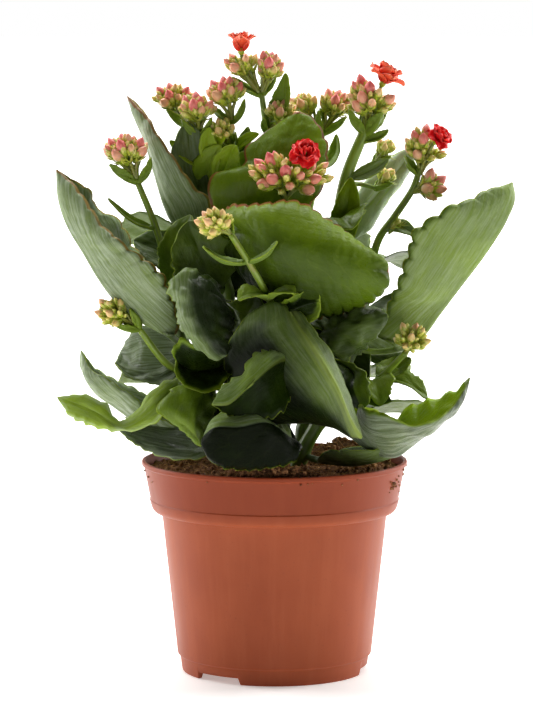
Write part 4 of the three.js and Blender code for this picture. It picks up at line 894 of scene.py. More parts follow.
for order, (name, path) in enumerate(shootPaths.items()):
    pile = newPile()
    heights = sorted(shape["at"] for shape in leaves[name])
    growStem(pile, path, stemForm["foot"], stemForm["top"], stemForm["sides"], 3 + order, heights, 0.1,
             onStem)
    for i, shape in enumerate(leaves[name]):
        foot = axisPoint(name, shape["at"])
        growLeaf(pile, {**shape, "foot": foot}, 100 * order + i + 1, shape.get("finish", onBlade))
    makePiece("leaves" + pieceWords(name), pile, [leafFinish, stemFinish, shadedLeafFinish], "leaf",
              "leafy_shoot_" + name)
print("leafy shoots grown")

# Open blooms: foot is where one sits on its stalk. Each ring of petals has how many, how far they lean out
# in degrees, and their length as a share of the bloom's width.
rosette = [{"petals": 5, "lean": 84, "length": 0.55, "broad": 0.52},
           {"petals": 5, "lean": 56, "length": 0.58, "broad": 0.5},
           {"petals": 4, "lean": 34, "length": 0.56, "broad": 0.46},
           {"petals": 3, "lean": 12, "length": 0.5, "broad": 0.42}]
fan = [{"petals": 5, "lean": 58, "length": 0.8, "broad": 0.36},
       {"petals": 5, "lean": 34, "length": 0.78, "broad": 0.4},
       {"petals": 3, "lean": 12, "length": 0.62, "broad": 0.36}]
tulip = [{"petals": 4, "lean": 40, "length": 1.05, "broad": 0.34},
         {"petals": 4, "lean": 22, "length": 1.05, "broad": 0.4},
         {"petals": 3, "lean": 8, "length": 0.9, "broad": 0.4}]
blooms = {
    "centre_front": {"foot": [12, -31, 233], "axis": [0.25, -0.8, 0.6], "width": 13.5, "height": 7,
                     "finish": scarletFinish, "rings": rosette, "point": 0.1},
    "centre_tall": {"foot": [-15, 12, 278], "axis": [0.0, -0.15, 1], "width": 9.2, "height": 3,
                    "finish": orangeFinish, "rings": tulip, "point": 0.75},
    "right_thick": {"foot": [47.5, -1, 264], "axis": [0.45, -0.15, 0.9], "width": 13.5, "height": 4,
                    "finish": orangeFinish, "rings": fan, "point": 0.35},
    "right_tall": {"foot": [71, -6, 239], "axis": [0.6, -0.5, 0.6], "width": 12, "height": 6,
                   "finish": scarletFinish, "rings": rosette, "point": 0.2},
}
petalForm = {"rows": 13, "columns": 13, "thickness": 0.35, "ruffle": 0.5, "cup": 0.2}
# radius and height
receptacle = np.array([[0.8, 0], [1.5, 0.8], [1.6, 2.4], [1.15, 4.0], [1.0, 5.2], [0.5, 6.4]])
onPetal, onReceptacle = range(2)


def growPetal(pile, bloom, ring, angle, chance):
    long = ring["length"] * bloom["width"] * chance.uniform(0.9, 1.08)
    broad = ring["broad"] * long * chance.uniform(0.9, 1.1)
    t = np.linspace(0.06, 1, petalForm["rows"])[:, None]
    u = np.linspace(-1, 1, petalForm["columns"])[None, :]
    lean = np.radians((ring["lean"] + chance.uniform(-9, 9)) * (0.62 + 0.5 * t))
    outline = np.sin(math.pi * t ** 0.8 * 0.86) ** 0.75 + 0.12
    outline = outline * (1 - bloom["point"] * smoothStep(t, 0.55, 1.0) * 0.95)
    notch = 1 - 0.1 * t ** 6 * np.abs(np.sin(2.5 * u + chance.uniform(0, 3)))
    reach = long * t * notch
    phase = chance.uniform(0, 6.3)
    ruffle = petalForm["ruffle"] * t ** 2 * np.sin(5.5 * u + phase) * (0.3 + np.abs(u))
    cup = petalForm["cup"] * long * t * u ** 2 + ruffle
    out = reach * np.sin(lean) - cup * np.cos(lean)
    rise = 0.45 * bloom["height"] + reach * np.cos(lean) + cup * np.sin(lean)
    grid = triple(out, u * broad * outline, rise)
    normal = unit(np.cross(np.gradient(grid, axis=0), np.gradient(grid, axis=1)))
    sheet = petalForm["thickness"] / 2 * np.sqrt(np.clip(1 - u ** 4, 0, 1)) * np.ones_like(t)
    top, bottom = grid + normal * sheet[..., None], grid - normal * sheet[..., None]
    rings = np.concatenate([top[:, ::-1], bottom[:, 1:-1]], 1)
    c, s = math.cos(angle), math.sin(angle)
    spin = np.array([[c, -s, 0], [s, c, 0], [0, 0, 1]])
    rings = rings @ spin.T @ turnTo(bloom["axis"]).T + np.asarray(bloom["foot"], float)
    across = np.concatenate([u[:, ::-1], u[:, 1:-1]], 1)
    addLoft(pile, rings, onPetal, triple(across, t, phase * 5))


for order, (name, bloom) in enumerate(blooms.items()):
    chance = np.random.default_rng(900 + order)
    pile = newPile()
    rise = np.array([[0, 0, z] for z in receptacle[:, 1]])
    path = rise @ turnTo(bloom["axis"]).T + np.asarray(bloom["foot"], float)
    addLoft(pile, tubeRings(path, receptacle[:, 0], 12), onReceptacle, 0, (0.6, 0, 0))
    for k, ring in enumerate(bloom["rings"]):
        for i in range(ring["petals"]):
            growPetal(pile, bloom, ring, fullTurn * i / ring["petals"] + k * goldenAngle, chance)
    makePiece("bloom" + pieceWords(name), pile, [bloom["finish"], sepalFinish], "petal", "bloom_" + name)
print("blooms opened")

# Sprays: a head starts at the stalk's end; middle and reach are the centre and the half sizes of its round
# of bud tips. cover is how far the buds reach down round it in degrees; wraps are the bracts that cup it.
bractUsual = {**leafUsual, "lobes": 2, "petiole": 0.05, "fold": 20, "tone": (0.75, 0.1, 0)}


def head(start, middle, reach, buds, budWidth, bloom=None, **more):
    return {"from": start, "middle": middle, "reach": reach, "buds": buds, "budWidth": budWidth,
            "bloom": bloom, "cover": 82, "upright": 0.8, "wraps": [], "pink": None, **more}


def bract(foot, via, tip, face, width, **more):
    return {**bractUsual, "foot": foot, "via": via, "tip": tip, "face": face, "width": width, **more}


sprays = {
    "left_tall": {
        "shoot": "left", "at": 180, "pink": 0.85,
        "stem": [[-53, -12, 202], [-61, -12, 222]],
        "heads": [
            head([-61, -12, 222], [-66, -12, 235], [12.5, 9, 9.5], 15, 5.0, wraps=[80, 190, 300]),
        ],
        "bracts": [
            bract([-53, -12, 202], [-64, -14, 202], [-74, -14, 215], [0.2, -0.4, 0.9], 6),
        ],
    },
    "left_low": {
        "shoot": "left", "at": 135, "pink": 0.3,
        "stem": [[-48, -22, 142], [-60, -27, 158]],
        "heads": [
            head([-60, -27, 158], [-71, -30, 166], [8.5, 7, 7.5], 14, 3.7, cover=115, upright=0.1,
                 wraps=[60, 200, 320]),
        ],
    },
    "front": {
        "shoot": "front", "at": 137, "pink": 0.35,
        "stem": [[3, -27, 150], [1, -39, 164], [-6, -50, 180], [-19, -57, 202]],
        "heads": [
            head([-19, -57, 202], [-26, -58, 207], [9.5, 7, 7.5], 16, 4.0, cover=120, upright=0.3,
                 wraps=[150]),
        ],
        "bracts": [
            bract([-12, -53, 190], [-24, -58, 187], [-31, -60, 197], [0.1, -0.2, 0.95], 9,
                  tone=(0.45, 0.1, 0)),
            bract([-12, -53, 190], [-3, -58, 190], [1, -58, 199], [-0.1, -0.2, 0.95], 8,
                  tone=(0.45, 0.1, 0)),
            bract([-3, -46, 173], [-10, -54, 178], [-16, -54, 173], [-0.2, -0.5, 0.85], 13, lobes=3,
                  step=2.6, tone=(0.9, 0.2, 0)),
            bract([-3, -46, 173], [4, -54, 179], [9, -54, 176], [0.2, -0.5, 0.85], 12, lobes=3,
                  step=2.6, tone=(0.8, 0.1, 0)),
        ],
    },
    "centre_front": {
        "shoot": "centre", "at": 168, "pink": 1.0,
        "stem": [[5, -12, 186], [5, -14, 204], [5, -19, 215]],
        "heads": [
            head([5, -19, 215], [6, -30, 226], [20.5, 12, 12.5], 23, 5.3, "centre_front", cover=100),
        ],
    },
    "centre_tall": {
        "shoot": "centre", "at": 192, "pink": 0.8,
        "stem": [[0, 10, 220], [-4, 12, 247], [-6, 12, 262]],
        "heads": [
            head([-6, 12, 260], [-15, 12, 274], [9, 7, 9.5], 13, 4.6, "centre_tall", wraps=[100, 250]),
            head([-6, 12, 260], [-2, 10, 272], [7, 7, 9], 11, 4.9, wraps=[140]),
            head([-3, 12, 243], [3, 8, 252], [9, 6, 7], 9, 4.2, wraps=[200, 300], pink=0.5),
        ],
        "bracts": [
            bract([-4, 12, 248], [6, 8, 252], [5, 9, 270], [-0.6, -0.7, 0.2], 12),
        ],
    },
    "back_left": {
        "shoot": "backLeft", "at": 202, "pink": 0.75,
        "stem": [[-28, 12, 214], [-32, 8, 228], [-34, 5, 243]],
        "sideStalks": [[[-26, 13, 208], [-33, 24, 226], [-41, 26, 248]],
                       [[-26, 13, 208], [-21, 12, 228], [-19, 8, 250]]],
        "heads": [
            head([-34, 5, 241], [-35, 4, 253], [9.5, 8, 9], 12, 4.9, wraps=[60, 180, 300]),
            head([-41, 26, 246], [-46, 23, 258], [10.5, 8, 8], 13, 4.3, wraps=[90, 210, 330]),
            head([-19, 8, 248], [-22, 8, 261], [10.5, 8, 8], 13, 4.9, wraps=[70, 260]),
            head([-20, 10, 235], [-24, 3, 244], [8, 6, 7], 10, 3.6, wraps=[120, 240], pink=0.25),
        ],
        "bracts": [
            bract([-21, 12, 228], [-12, 8, 232], [-12, 6, 246], [-0.6, -0.7, 0.3], 11),
            bract([-28, 12, 214], [-34, 2, 226], [-24, -2, 238], [-0.2, -0.9, 0.3], 15, lobes=3,
                  tone=(1.15, 0.1, 0)),
            bract([-28, 12, 214], [-18, 2, 222], [-10, 0, 236], [0.1, -0.9, 0.3], 15, lobes=3,
                  tone=(1.1, 0.1, 0)),
            bract([-33, 8, 232], [-30, 2, 238], [-21, 0, 243], [0.1, -0.9, 0.4], 9, tone=(1.4, 0, 0)),
            bract([-32, 8, 228], [-40, 3, 232], [-47, 2, 240], [0.1, -0.8, 0.6], 8, tone=(1.3, 0, 0)),
            bract([-20, 11, 233], [-14, 4, 240], [-7, 2, 243], [0, -0.8, 0.6], 7, tone=(1.4, 0, 0)),
            bract([-21, 12, 228], [-28, 4, 222], [-21, 0, 212], [0.2, -0.9, 0.3], 12, lobes=3,
                  tone=(1.2, 0.1, 0)),
            bract([-23, 4, 220], [-23, -2, 230], [-17, -4, 238], [0.1, -0.9, 0.3], 14, lobes=3,
                  tone=(1.3, 0.1, 0)),
            bract([-24, 8, 224], [-32, 0, 236], [-29, 0, 246], [0, -0.9, 0.3], 10, lobes=3,
                  tone=(1.4, 0.1, 0)),
        ],
    },
    "back": {
        "shoot": "back", "at": 203, "pink": 0.65,
        "stem": [[20, 32, 228], [22, 30, 244]],
        "heads": [
            head([22, 30, 242], [13, 30, 255], [7.5, 6, 6.5], 9, 4.3, wraps=[90, 250], pink=0.45),
            head([22, 30, 242], [28, 28, 255], [9.5, 7, 8.5], 11, 4.8, wraps=[60, 300]),
        ],
        "bracts": [
            bract([20, 32, 228], [30, 24, 228], [28, 22, 242], [-0.5, -0.8, 0.3], 8),
        ],
    },
    "right_thick": {
        "shoot": "backRight", "at": 197, "pink": 0.85, "thick": 1.65,
        "stem": [[32, 0, 223], [41, 0, 246]],
        "sideStalks": [[[31, 1, 220], [38, 5, 225], [45, 7, 229]],
                       [[31, 1, 220], [39, 8, 220], [46, 10, 218]]],
        "heads": [
            head([41, 0, 243], [43, -1, 258], [12.5, 11, 13.5], 22, 5.2, "right_thick", cover=98,
                 wraps=[30, 130, 190, 290]),
            head([45, 7, 229], [50, 8, 236], [5.5, 5, 6], 6, 3.7, wraps=[60, 200], pink=0.3),
            head([46, 10, 218], [51, 12, 223], [5.5, 5, 5], 6, 3.7, wraps=[60, 200], pink=0.3),
        ],
        "bracts": [
            bract([39, 0, 240], [46, -2, 240], [51, -2, 245], [0.2, -0.8, 0.6], 5),
            bract([33, -1, 223], [43, -5, 225], [51, -5, 232], [0.1, -0.8, 0.6], 8, tone=(0.6, 0.9, 0)),
        ],
    },
    "right_tall": {
        "shoot": "right", "at": 174, "pink": 0.75,
        "stem": [[46.5, -4, 195.5], [54, -4, 206.5], [62, -5, 219], [65, -5, 228]],
        "heads": [
            head([65, -5, 225], [67, -5, 236], [11, 8, 12], 13, 4.4, "right_tall", cover=95,
                 wraps=[250]),
            head([61, -5, 217], [70.5, -8, 220.5], [8, 6, 7.5], 7, 5.6, cover=110, upright=0.2),
            head([50, -4, 200.5], [55.5, -6, 203], [2, 1.6, 2.4], 2, 3.4, pink=0.1),
        ],
        "bracts": [
            bract([50, -4, 200.5], [56, -5, 203.5], [63, -6, 197.5], [0, -0.7, 0.7], 9,
                  tone=(0.7, 1.2, 0)),
        ],
    },
    "right_low": {
        "shoot": "right", "at": 125, "pink": 0.4,
        "stem": [[38, -15, 129], [46, -18, 134], [58, -25, 147]],
        "heads": [
            head([58, -25, 147], [61, -26, 153.5], [9, 7, 8], 14, 3.8, cover=135, upright=0.6,
                 pink=0.28),
        ],
        "bracts": [
            bract([43, -17, 132], [56, -18, 138], [68, -20, 126], [0.1, -0.3, 0.95], 18, lobes=3,
                  step=3),
            bract([42, -17, 131], [44, -28, 140], [47, -30, 124], [0.2, -0.7, 0.6], 18, lobes=3,
                  step=3),
            bract([46, -18, 134], [54, -10, 136], [61, -8, 143], [-0.2, -0.5, 0.8], 16, lobes=3),
        ],
    },
}
stalkForm = {"foot": 1.9, "top": 1.4, "sides": 12, "points": 40,
             "sideStalk": 0.7, "sideStalkSides": 10, "sideStalkPoints": 24,  # 0.7 of the stalk's radii
             "branchFoot": 1.0, "branchTop": 0.7, "branchSides": 8, "pedicel": 0.5, "pedicelSides": 6}
onStalk, onBract, onSepal, onBud = range(4)  # places in a spray's list of finishes
budForm = {
    "sides": 14, "rings": 12, "slender": 1.42, "ridge": 0.07, "ridges": 4, "twist": 1.1,
    "shareAlong": [0, 0.1, 0.26, 0.42, 0.58, 0.74, 0.88, 0.96, 1],
    "radius": [0.4, 0.68, 0.93, 1.0, 0.95, 0.74, 0.42, 0.18, 0.04],
    "cup": 1.1, "cupAlong": [0, 0.3, 0.65, 0.9, 1.0, 1.15], "cupRadius": [0.3, 0.45, 0.72, 0.82, 0.7, 0.4],
    "sepals": 4, "sepalBroad": [0.7, 1.0, 0.92, 0.66, 0.36, 0.08],
}
headForm = {
    "smallShare": 1.7, "smallest": 0.36, "smallWidest": 0.62,  # small buds: how many, and how wide
    "bigWidths": [1.0, 0.72, 0.9, 0.6], "scales": 3, "bractFine": 0.8, "wrapFine": 0.7,
}


def growSepal(pile, foot, via, tip, outward, width, chance):
    path = bend(foot, via, tip, np.linspace(0, 0.99, len(budForm["sepalBroad"])))
    forward = unit(np.gradient(path, axis=0))
    side = unit(np.cross(forward, outward))
    out = np.cross(side, forward)
    angle = roundAngles(8)[None]
    broad = width * np.array(budForm["sepalBroad"])[:, None]
    rings = (path[:, None] + side[:, None] * (np.cos(angle) * broad)[..., None]
             - out[:, None] * (np.sin(angle) * broad * 0.3)[..., None])
    addLoft(pile, rings, onSepal, (chance.uniform(0, 40), 0, 0), (0.6, 0, chance.uniform(0, 0.5)))


def growBud(pile, tip, axis, width, pink, young, chance):
    length = (budForm["slender"] + 0.25 * young) * width * chance.uniform(0.92, 1.12)
    base = tip - axis * length
    t = np.linspace(0, 1, budForm["rings"])[:, None]
    radii = width / 2 * np.interp(t[:, 0], budForm["shareAlong"], budForm["radius"])
    angle = roundAngles(budForm["sides"])[None, :]
    turn = angle * budForm["ridges"] + budForm["twist"] * 4 * t + chance.uniform(0, 6)
    ridges = 1 + budForm["ridge"] * np.abs(np.sin(turn / 2)) - budForm["ridge"] * 0.6
    place = triple(np.cos(angle), t, chance.uniform(0, 60) + np.sin(angle))
    addLoft(pile, tubeRings(base + axis * (t * length), radii, budForm["sides"], ridges), onBud, place,
            (pink, 0, 0))
    # the calyx: a narrow cup under the bud, and pointed sepals that hug it
    cup = budForm["cup"] * width
    path = base + axis * (cup * (np.array(budForm["cupAlong"]) - 0.8))[:, None]
    addLoft(pile, tubeRings(path, width / 2 * np.array(budForm["cupRadius"]), 10), onSepal,
            (chance.uniform(0, 40), 0, 0), 0, (0.5, 0, 0.1))
    spin = turnTo(axis)
    start = chance.uniform(0, 6)
    top = 0.42 + 0.5 * young
    for k in range(budForm["sepals"]):
        direction = start + k * fullTurn / budForm["sepals"]
        outward = np.array([math.cos(direction), math.sin(direction), 0]) @ spin.T
        reach = length * top * chance.uniform(0.8, 1.15)
        foot = base - axis * 0.2 * cup + outward * width * 0.3
        via = base + outward * width * 0.62 + axis * reach * 0.4
        end = base + outward * width * (0.68 - 0.2 * young) + axis * reach
        growSepal(pile, foot, via, end, outward, 0.3 * width, chance)
    return base - axis * 0.7 * cup


def inBloomsWay(foot, tip, bloom):
    axis = unit(np.asarray(bloom["axis"], float))
    centre = np.asarray(bloom["foot"], float) + 0.6 * bloom["height"] * axis
    line = tip - foot
    t = np.clip(np.dot(centre - foot, line) / np.dot(line, line), 0, 1)
    return np.linalg.norm(foot + t * line - centre) < bloom["width"] / 2 + 1.2


# the buds of a head, in a spiral round it: first the big ones, then small ones deeper in
def planBuds(spec, pink, foot, turn, chance):
    middle, reach = np.asarray(spec["middle"], float), np.asarray(spec["reach"], float)
    bloom, count = blooms.get(spec["bloom"]), spec["buds"]
    smallCount = round(headForm["smallShare"] * count)
    span = 1 - math.cos(math.radians(spec["cover"]))
    for i in range(count + smallCount):
        big = i < count
        j, n = (i, count) if big else (i - count + 0.5, smallCount)
        polar = math.acos(max(-1, 1 - span * (j + 0.5) / n * (1 if big else 1.12)))
        around = j * goldenAngle + (0 if big else 1.3)
        out = turn @ np.array([math.sin(polar) * math.sin(around), math.sin(polar) * math.cos(around),
                               math.cos(polar)])
        tip = middle + out * reach * (chance.uniform(0.86, 1.06) if big else chance.uniform(0.66, 0.98))
        if big:
            share = headForm["bigWidths"][i % 4]
        else:
            share = chance.uniform(headForm["smallest"], headForm["smallWidest"])
        if bloom and inBloomsWay(foot, tip, bloom):
            continue
        palest, pinkest = (0.0, 0.35) if not big else (0.85, 1.15) if share > 0.8 else (0.3, 0.9)
        tone = pink * chance.uniform(palest, pinkest) * (1 - 0.45 * smoothStep(polar, 0.7, 1.5))
        young = 0.25 + max(0, 0.8 - share) * 1.7 + 0.5 * max(0, 0.6 - pink)
        yield tip, spec["budWidth"] * share, min(1, tone), min(1, young), out


# a few branches fan out of the stalk's end
def growBranches(pile, spec, start, middle, reach, turn, chance):
    count = 4 if spec["buds"] < 10 else 6 if spec["buds"] < 20 else 9
    ends = []
    for k in range(count):
        around = fullTurn * k / count + chance.uniform(-0.3, 0.3)
        end = middle + turn @ np.array([math.sin(around), math.cos(around), -0.3]) * reach * 0.5
        end = start + (end - start) * 0.75
        path = smoothPath([start, start + 0.5 * (end - start) + 0.12 * (middle - start), end], 10)
        growStem(pile, path, stalkForm["branchFoot"], stalkForm["branchTop"], stalkForm["branchSides"], k,
                 red=0.3)
        ends.append(end)
    return ends


def growHead(pile, spec, sprayPink, chance, seed):
    start, middle, reach = (np.asarray(spec[key], float) for key in ("from", "middle", "reach"))
    axis = unit(unit(middle - start) + np.array([0, 0, spec["upright"]]))
    turn = turnTo(axis)
    foot = start + 0.5 * (middle - start)
    pink = sprayPink if spec["pink"] is None else spec["pink"]
    buds = list(planBuds(spec, pink, foot, turn, chance))
    branches = growBranches(pile, spec, start, middle, reach, turn, chance)
    for tip, width, tone, young, out in buds:
        branch = min(branches, key=lambda point: np.linalg.norm(point - tip))
        axis = unit(unit(tip - foot) * 0.8 + out * 0.35 + np.array([0, 0, 0.15]))
        base = growBud(pile, tip, axis, width, tone, young, chance)
        gap = np.linalg.norm(base - branch)
        path = bend(branch, base - axis * gap * 0.45, base + axis * 0.3, np.linspace(0, 1, 8))
        growStem(pile, path, stalkForm["pedicel"], stalkForm["pedicel"] * 0.9, stalkForm["pedicelSides"], 1)
    # loose pointed scales between the pedicels
    for branch in branches:
        for k in range(headForm["scales"]):
            outward = unit(unit(branch - start) * 1.2 + unit(chance.normal(0, 1, 3)))
            tip = branch + outward * chance.uniform(4, 6.5)
            via = (branch + tip) / 2 + [0, 0, -0.8]
            growSepal(pile, branch, via, tip, np.array([0.0, 0, -1.0]), 0.9, chance)
    for k, turned in enumerate(spec["wraps"]):
        a = math.radians(turned)
        out = turn @ np.array([math.sin(a), -math.cos(a), 0])
        tip = middle + out * reach * 0.98 - (turn @ np.array([0, 0, 0.12])) * reach
        tip = start + 0.8 * (tip - start)
        via = start + out * reach * 0.75 + 0.25 * (middle - start)
        shape = bract(start, via, tip, -out + 0.2 * axis, 0.75 * reach.mean(), fold=35, lobes=3,
                      teeth=2, tone=(0.7, 0.1, 0), underTone=(0.75, 0.1, 0), pale=0.3)
        growLeaf(pile, shape, seed + k, onBract, headForm["wrapFine"])
    bloom = blooms.get(spec["bloom"])
    if bloom:
        seat = np.asarray(bloom["foot"], float)
        path = smoothPath([foot - (foot - start) * 0.4, (foot + seat) / 2, seat], 10)
        growStem(pile, path, 0.8, 0.9, 8, 2, red=0.2)


for order, (name, spray) in enumerate(sprays.items()):
    chance = np.random.default_rng(500 + order)
    pile = newPile()
    thick, share = spray.get("thick", 1), stalkForm["sideStalk"]
    foot, top = stalkForm["foot"], stalkForm["top"]
    path = smoothPath([axisPoint(spray["shoot"], spray["at"])] + spray["stem"], stalkForm["points"])
    growStem(pile, path, foot * thick, top * thick, stalkForm["sides"], order)
    for points in spray.get("sideStalks", []):
        growStem(pile, smoothPath(points, stalkForm["sideStalkPoints"]), foot * share, top * share,
                 stalkForm["sideStalkSides"], order)
    for i, spec in enumerate(spray["heads"]):
        growHead(pile, spec, spray["pink"], chance, 4000 + 50 * order + 10 * i)
    for i, shape in enumerate(spray.get("bracts", [])):
        growLeaf(pile, shape, 3000 + 10 * order + i, onBract, headForm["bractFine"])
    makePiece("spray" + pieceWords(name), pile, [sprayStalkFinish, bractFinish, sepalFinish, budFinish],
              "spray", "spray_" + name)
print("sprays grown")

# Pot: outside and inside profile, radius and height, each corner rounded by the third number.
potForm = {
    "sides": 224,
    "profile": [
        [38.8, 4.0, 0.0], [39.4, 0.0, 0.5], [41.8, 0.0, 0.7], [42.9, 7.2, 0.4], [44.0, 8.0, 0.5],
        [51.0, 73.0, 0.5], [54.3, 73.0, 0.8], [55.5, 74.6, 1.2], [56.5, 78.4, 0.35], [56.2, 78.8, 0.2],
        [59.0, 93.4, 0.25], [59.95, 94.0, 0.25], [60.0, 96.0, 0.7], [58.3, 96.0, 0.6],
        [53.4, 74.4, 0.8], [49.8, 74.2, 0.8], [42.8, 8.2, 0.8], [40.2, 5.2, 0.8],
    ],
    "floorUnder": 4.0, "floorTop": 5.2, "footMiddle": 42,
    "notchAngles": [-128, -8, 112], "notchWidth": 26, "notchHeight": 3.2, "notchDepth": 16,
    "notchTaper": 0.86,
    "drainHoles": 5, "drainRadius": 4, "drainRing": 24,
}


def roundedProfile(corners):
    points = []
    last = len(corners) - 1
    for i, (radius, height, size) in enumerate(corners):
        here = np.array([radius, height])
        if size == 0 or i == last:
            points.append(here)
            continue
        before, after = np.array(corners[i - 1][:2]) - here, np.array(corners[i + 1][:2]) - here
        size = min(size, np.linalg.norm(before) * 0.45, np.linalg.norm(after) * 0.45)
        a, b = here + unit(before) * size, here + unit(after) * size
        for t in (0, 0.25, 0.5, 0.75, 1):
            points.append((1 - t) ** 2 * a + 2 * t * (1 - t) * here + t * t * b)
    return np.array(points)


def turnedRings(profile, sides):
    angle, radius = roundAngles(sides)[None], profile[:, 0, None]
    return triple(radius * np.cos(angle), radius * np.sin(angle), profile[:, 1, None])


def potSkin():
    material, shader = newFinish("terracottaPlastic", 0.4, gloss=0.16)
    spot = readSpot(shader)
    height = split(spot)[2]
    streak = grain(stretched(spot, (120.0, 120.0, 5.0)), 1.0, 4.0, 0.6)
    cloud = grain(spot, 26.0, 3.0)
    dust = grain(spot, 900.0, 3.0, 0.6)
    colour = blend(remap(cloud, 0.3, 0.7), paint(150, 70, 39), paint(160, 78, 45))
    colour = blend(remap(streak, 0.42, 0.72, 0.0, 0.35), colour, paint(172, 92, 60))
    band = remap(height, 0.072, 0.08)
    colour = blend(times(band, 0.6), colour, paint(122, 44, 18))
    colour = blend(remap(dust, 0.62, 0.74, 0.0, 0.35), colour, paint(116, 58, 40))
    plug(colour, shader, "Base Color")
    plug(remap(streak, 0.3, 0.7, 0.38, 0.52, "LINEAR"), shader, "Roughness")
    addRelief(shader, plus(times(streak, 0.6), times(dust, 0.25)), 0.25, 0.0004)
    return material


def cutAway(piece, cutter):
    cut = piece.modifiers.new("cut", "BOOLEAN")
    cut.object = cutter
    cut.solver = "EXACT"
    bpy.context.view_layer.update()
    seen = piece.evaluated_get(bpy.context.evaluated_depsgraph_get())
    mesh = bpy.data.meshes.new_from_object(seen)
    piece.modifiers.clear()
    piece.data = mesh
    bpy.data.objects.remove(cutter)


# wedges for the foot's notches and rods for the drain holes
def potCutters():
    tool = bmesh.new()
    for angle in potForm["notchAngles"]:
        a = math.radians(angle)
        for v in bmesh.ops.create_cube(tool, size=1)["verts"]:
            x = v.co.x * potForm["notchDepth"] + potForm["footMiddle"]
            y = v.co.y * potForm["notchWidth"] * (potForm["notchTaper"] if v.co.z > 0 else 1.0)
            z = v.co.z * 2 * potForm["notchHeight"]
            v.co = (x * math.cos(a) - y * math.sin(a), x * math.sin(a) + y * math.cos(a), z)
    radius, ring = potForm["drainRadius"], potForm["drainRing"]
    for k in range(potForm["drainHoles"]):
        a = fullTurn * k / potForm["drainHoles"]
        rod = bmesh.ops.create_cone(tool, cap_ends=True, segments=32, radius1=radius, radius2=radius,
                                    depth=5)["verts"]
        place = (ring * math.cos(a), ring * math.sin(a), potForm["floorUnder"])
        bmesh.ops.translate(tool, verts=rod, vec=place)
    for v in tool.verts:
        v.co = v.co * millimetre + Vector(potAxis)
    mesh = bpy.data.meshes.new("cutter")
    tool.to_mesh(mesh)
    tool.free()
    return putInScene("cutter", mesh)


pile = newPile()
addLoft(pile, turnedRings(roundedProfile(potForm["profile"]), potForm["sides"]))
pile["points"][-1] = np.array([[0, 0, potForm["floorUnder"]], [0, 0, potForm["floorTop"]]])
potShell = makePiece("potShell", pile, [potSkin()], "pot", "pot")
cutAway(potShell, potCutters())
print("pot turned")

# Peat: level near the left rim, heaped at the front, at the back right and a little at the right.
peatForm = {
    "level": 92.5, "sides": 168, "rings": 50, "topRadius": 56.2, "roughness": 2.2,
    "heaps": [(0, -50, 22, 6.2), (34, 40, 17, 7), (46, -22, 14, 2)],  # x, y, spread, rise
    "underside": [[12, 5.5], [38.5, 5.5], [42.0, 8.4], [49.2, 74.2], [53.6, 78], [56.2, 90.0]],
    "crumbs": 2100, "fibres": 440, "straws": 30,
}
# specks of peat stuck to the band: angle, height, size
specks = [(-22, 88, 0.9), (-20, 86.5, 0.7), (-24, 86, 0.6), (-19, 91, 0.6), (-28, 89.5, 0.6),
          (-12, 93, 0.8), (-9, 90.5, 0.7), (-165, 90, 0.7), (-160, 88.4, 0.5), (-14, 86, 0.6),
          (-11, 83, 0.5),
          (-52, 93.2, 0.6), (-76, 92.9, 0.6), (-79, 92.6, 0.5), (-74, 93.1, 0.4), (-8, 94.5, 1.0),
          (-172, 92, 0.6), (-25, 88.2, 1.2), (-23.4, 87.0, 0.9), (-26, 86.4, 0.8), (-21, 89.6, 0.8),
          (-27, 84.6, 0.5), (-17, 88.0, 0.5), (-60, 91.6, 0.4), (-120, 92.8, 0.5)]


def peatTop(x, y):
    height = peatForm["level"]
    for cx, cy, spread, rise in peatForm["heaps"]:
        height += rise * math.exp(-((x - cx) ** 2 + (y - cy) ** 2) / spread ** 2)
    height += 0.7 * math.sin(0.31 * x + 1) * math.cos(0.37 * y) + 0.5 * math.sin(0.55 * x - 0.48 * y)
    lumps = noise.fractal(Vector((x * 0.35, y * 0.35, 3.0)), 1.0, 2.1, 4)
    return height + peatForm["roughness"] * (lumps - 0.25)


def peatSkin(name, dark, light, spark):
    material, shader = newFinish(name, 0.95, gloss=0.2)
    spot = readSpot(shader)
    lump = grain(spot, 420.0, 5.0, 0.65)
    speck = grain(spot, 1500.0, 3.0, 0.6)
    colour = blend(remap(lump, 0.35, 0.68), paint(*dark), paint(*light))
    colour = blend(remap(speck, 0.6, 0.72, 0.0, 0.6), colour, paint(*spark))
    plug(colour, shader, "Base Color")
    addRelief(shader, plus(lump, times(speck, 0.5)), 0.8, 0.002)
    return material


peatFinish = peatSkin("peat", (84, 54, 34), (146, 102, 66), (192, 148, 100))
crumbFinish = peatSkin("peatCrumb", (104, 66, 42), (180, 130, 86), (214, 174, 126))
fibreFinish = peatSkin("peatFibre", (164, 112, 66), (206, 160, 106), (226, 192, 142))

pile = newPile()
radii = np.linspace(peatForm["topRadius"], 1, peatForm["rings"])
top = turnedRings(np.stack([radii, np.zeros(len(radii))], 1), peatForm["sides"])
for point in top.reshape(-1, 3):
    point[2] = peatTop(point[0], point[1])
under = turnedRings(np.array(peatForm["underside"]), peatForm["sides"])
addLoft(pile, np.concatenate([under, top]))
makePiece("peatBed", pile, [peatFinish], "soil", "soil")

ball = bmesh.new()
bmesh.ops.create_icosphere(ball, subdivisions=1, radius=1)
ballPoints = np.array([v.co[:] for v in ball.verts])
ballTriangles = np.array([[v.index for v in f.verts] for f in ball.faces])
ball.free()


def addCrumb(pile, centre, size, chance):
    squash = size * chance.uniform(0.5, 1.1, 3)
    bumps = ballPoints * (1 + 0.35 * chance.uniform(-1, 1, (len(ballPoints), 1)))
    spin = np.linalg.qr(chance.normal(size=(3, 3)))[0]
    spin = spin * np.sign(np.linalg.det(spin))
    addTriangles(pile, bumps * squash @ spin.T + centre, ballTriangles)


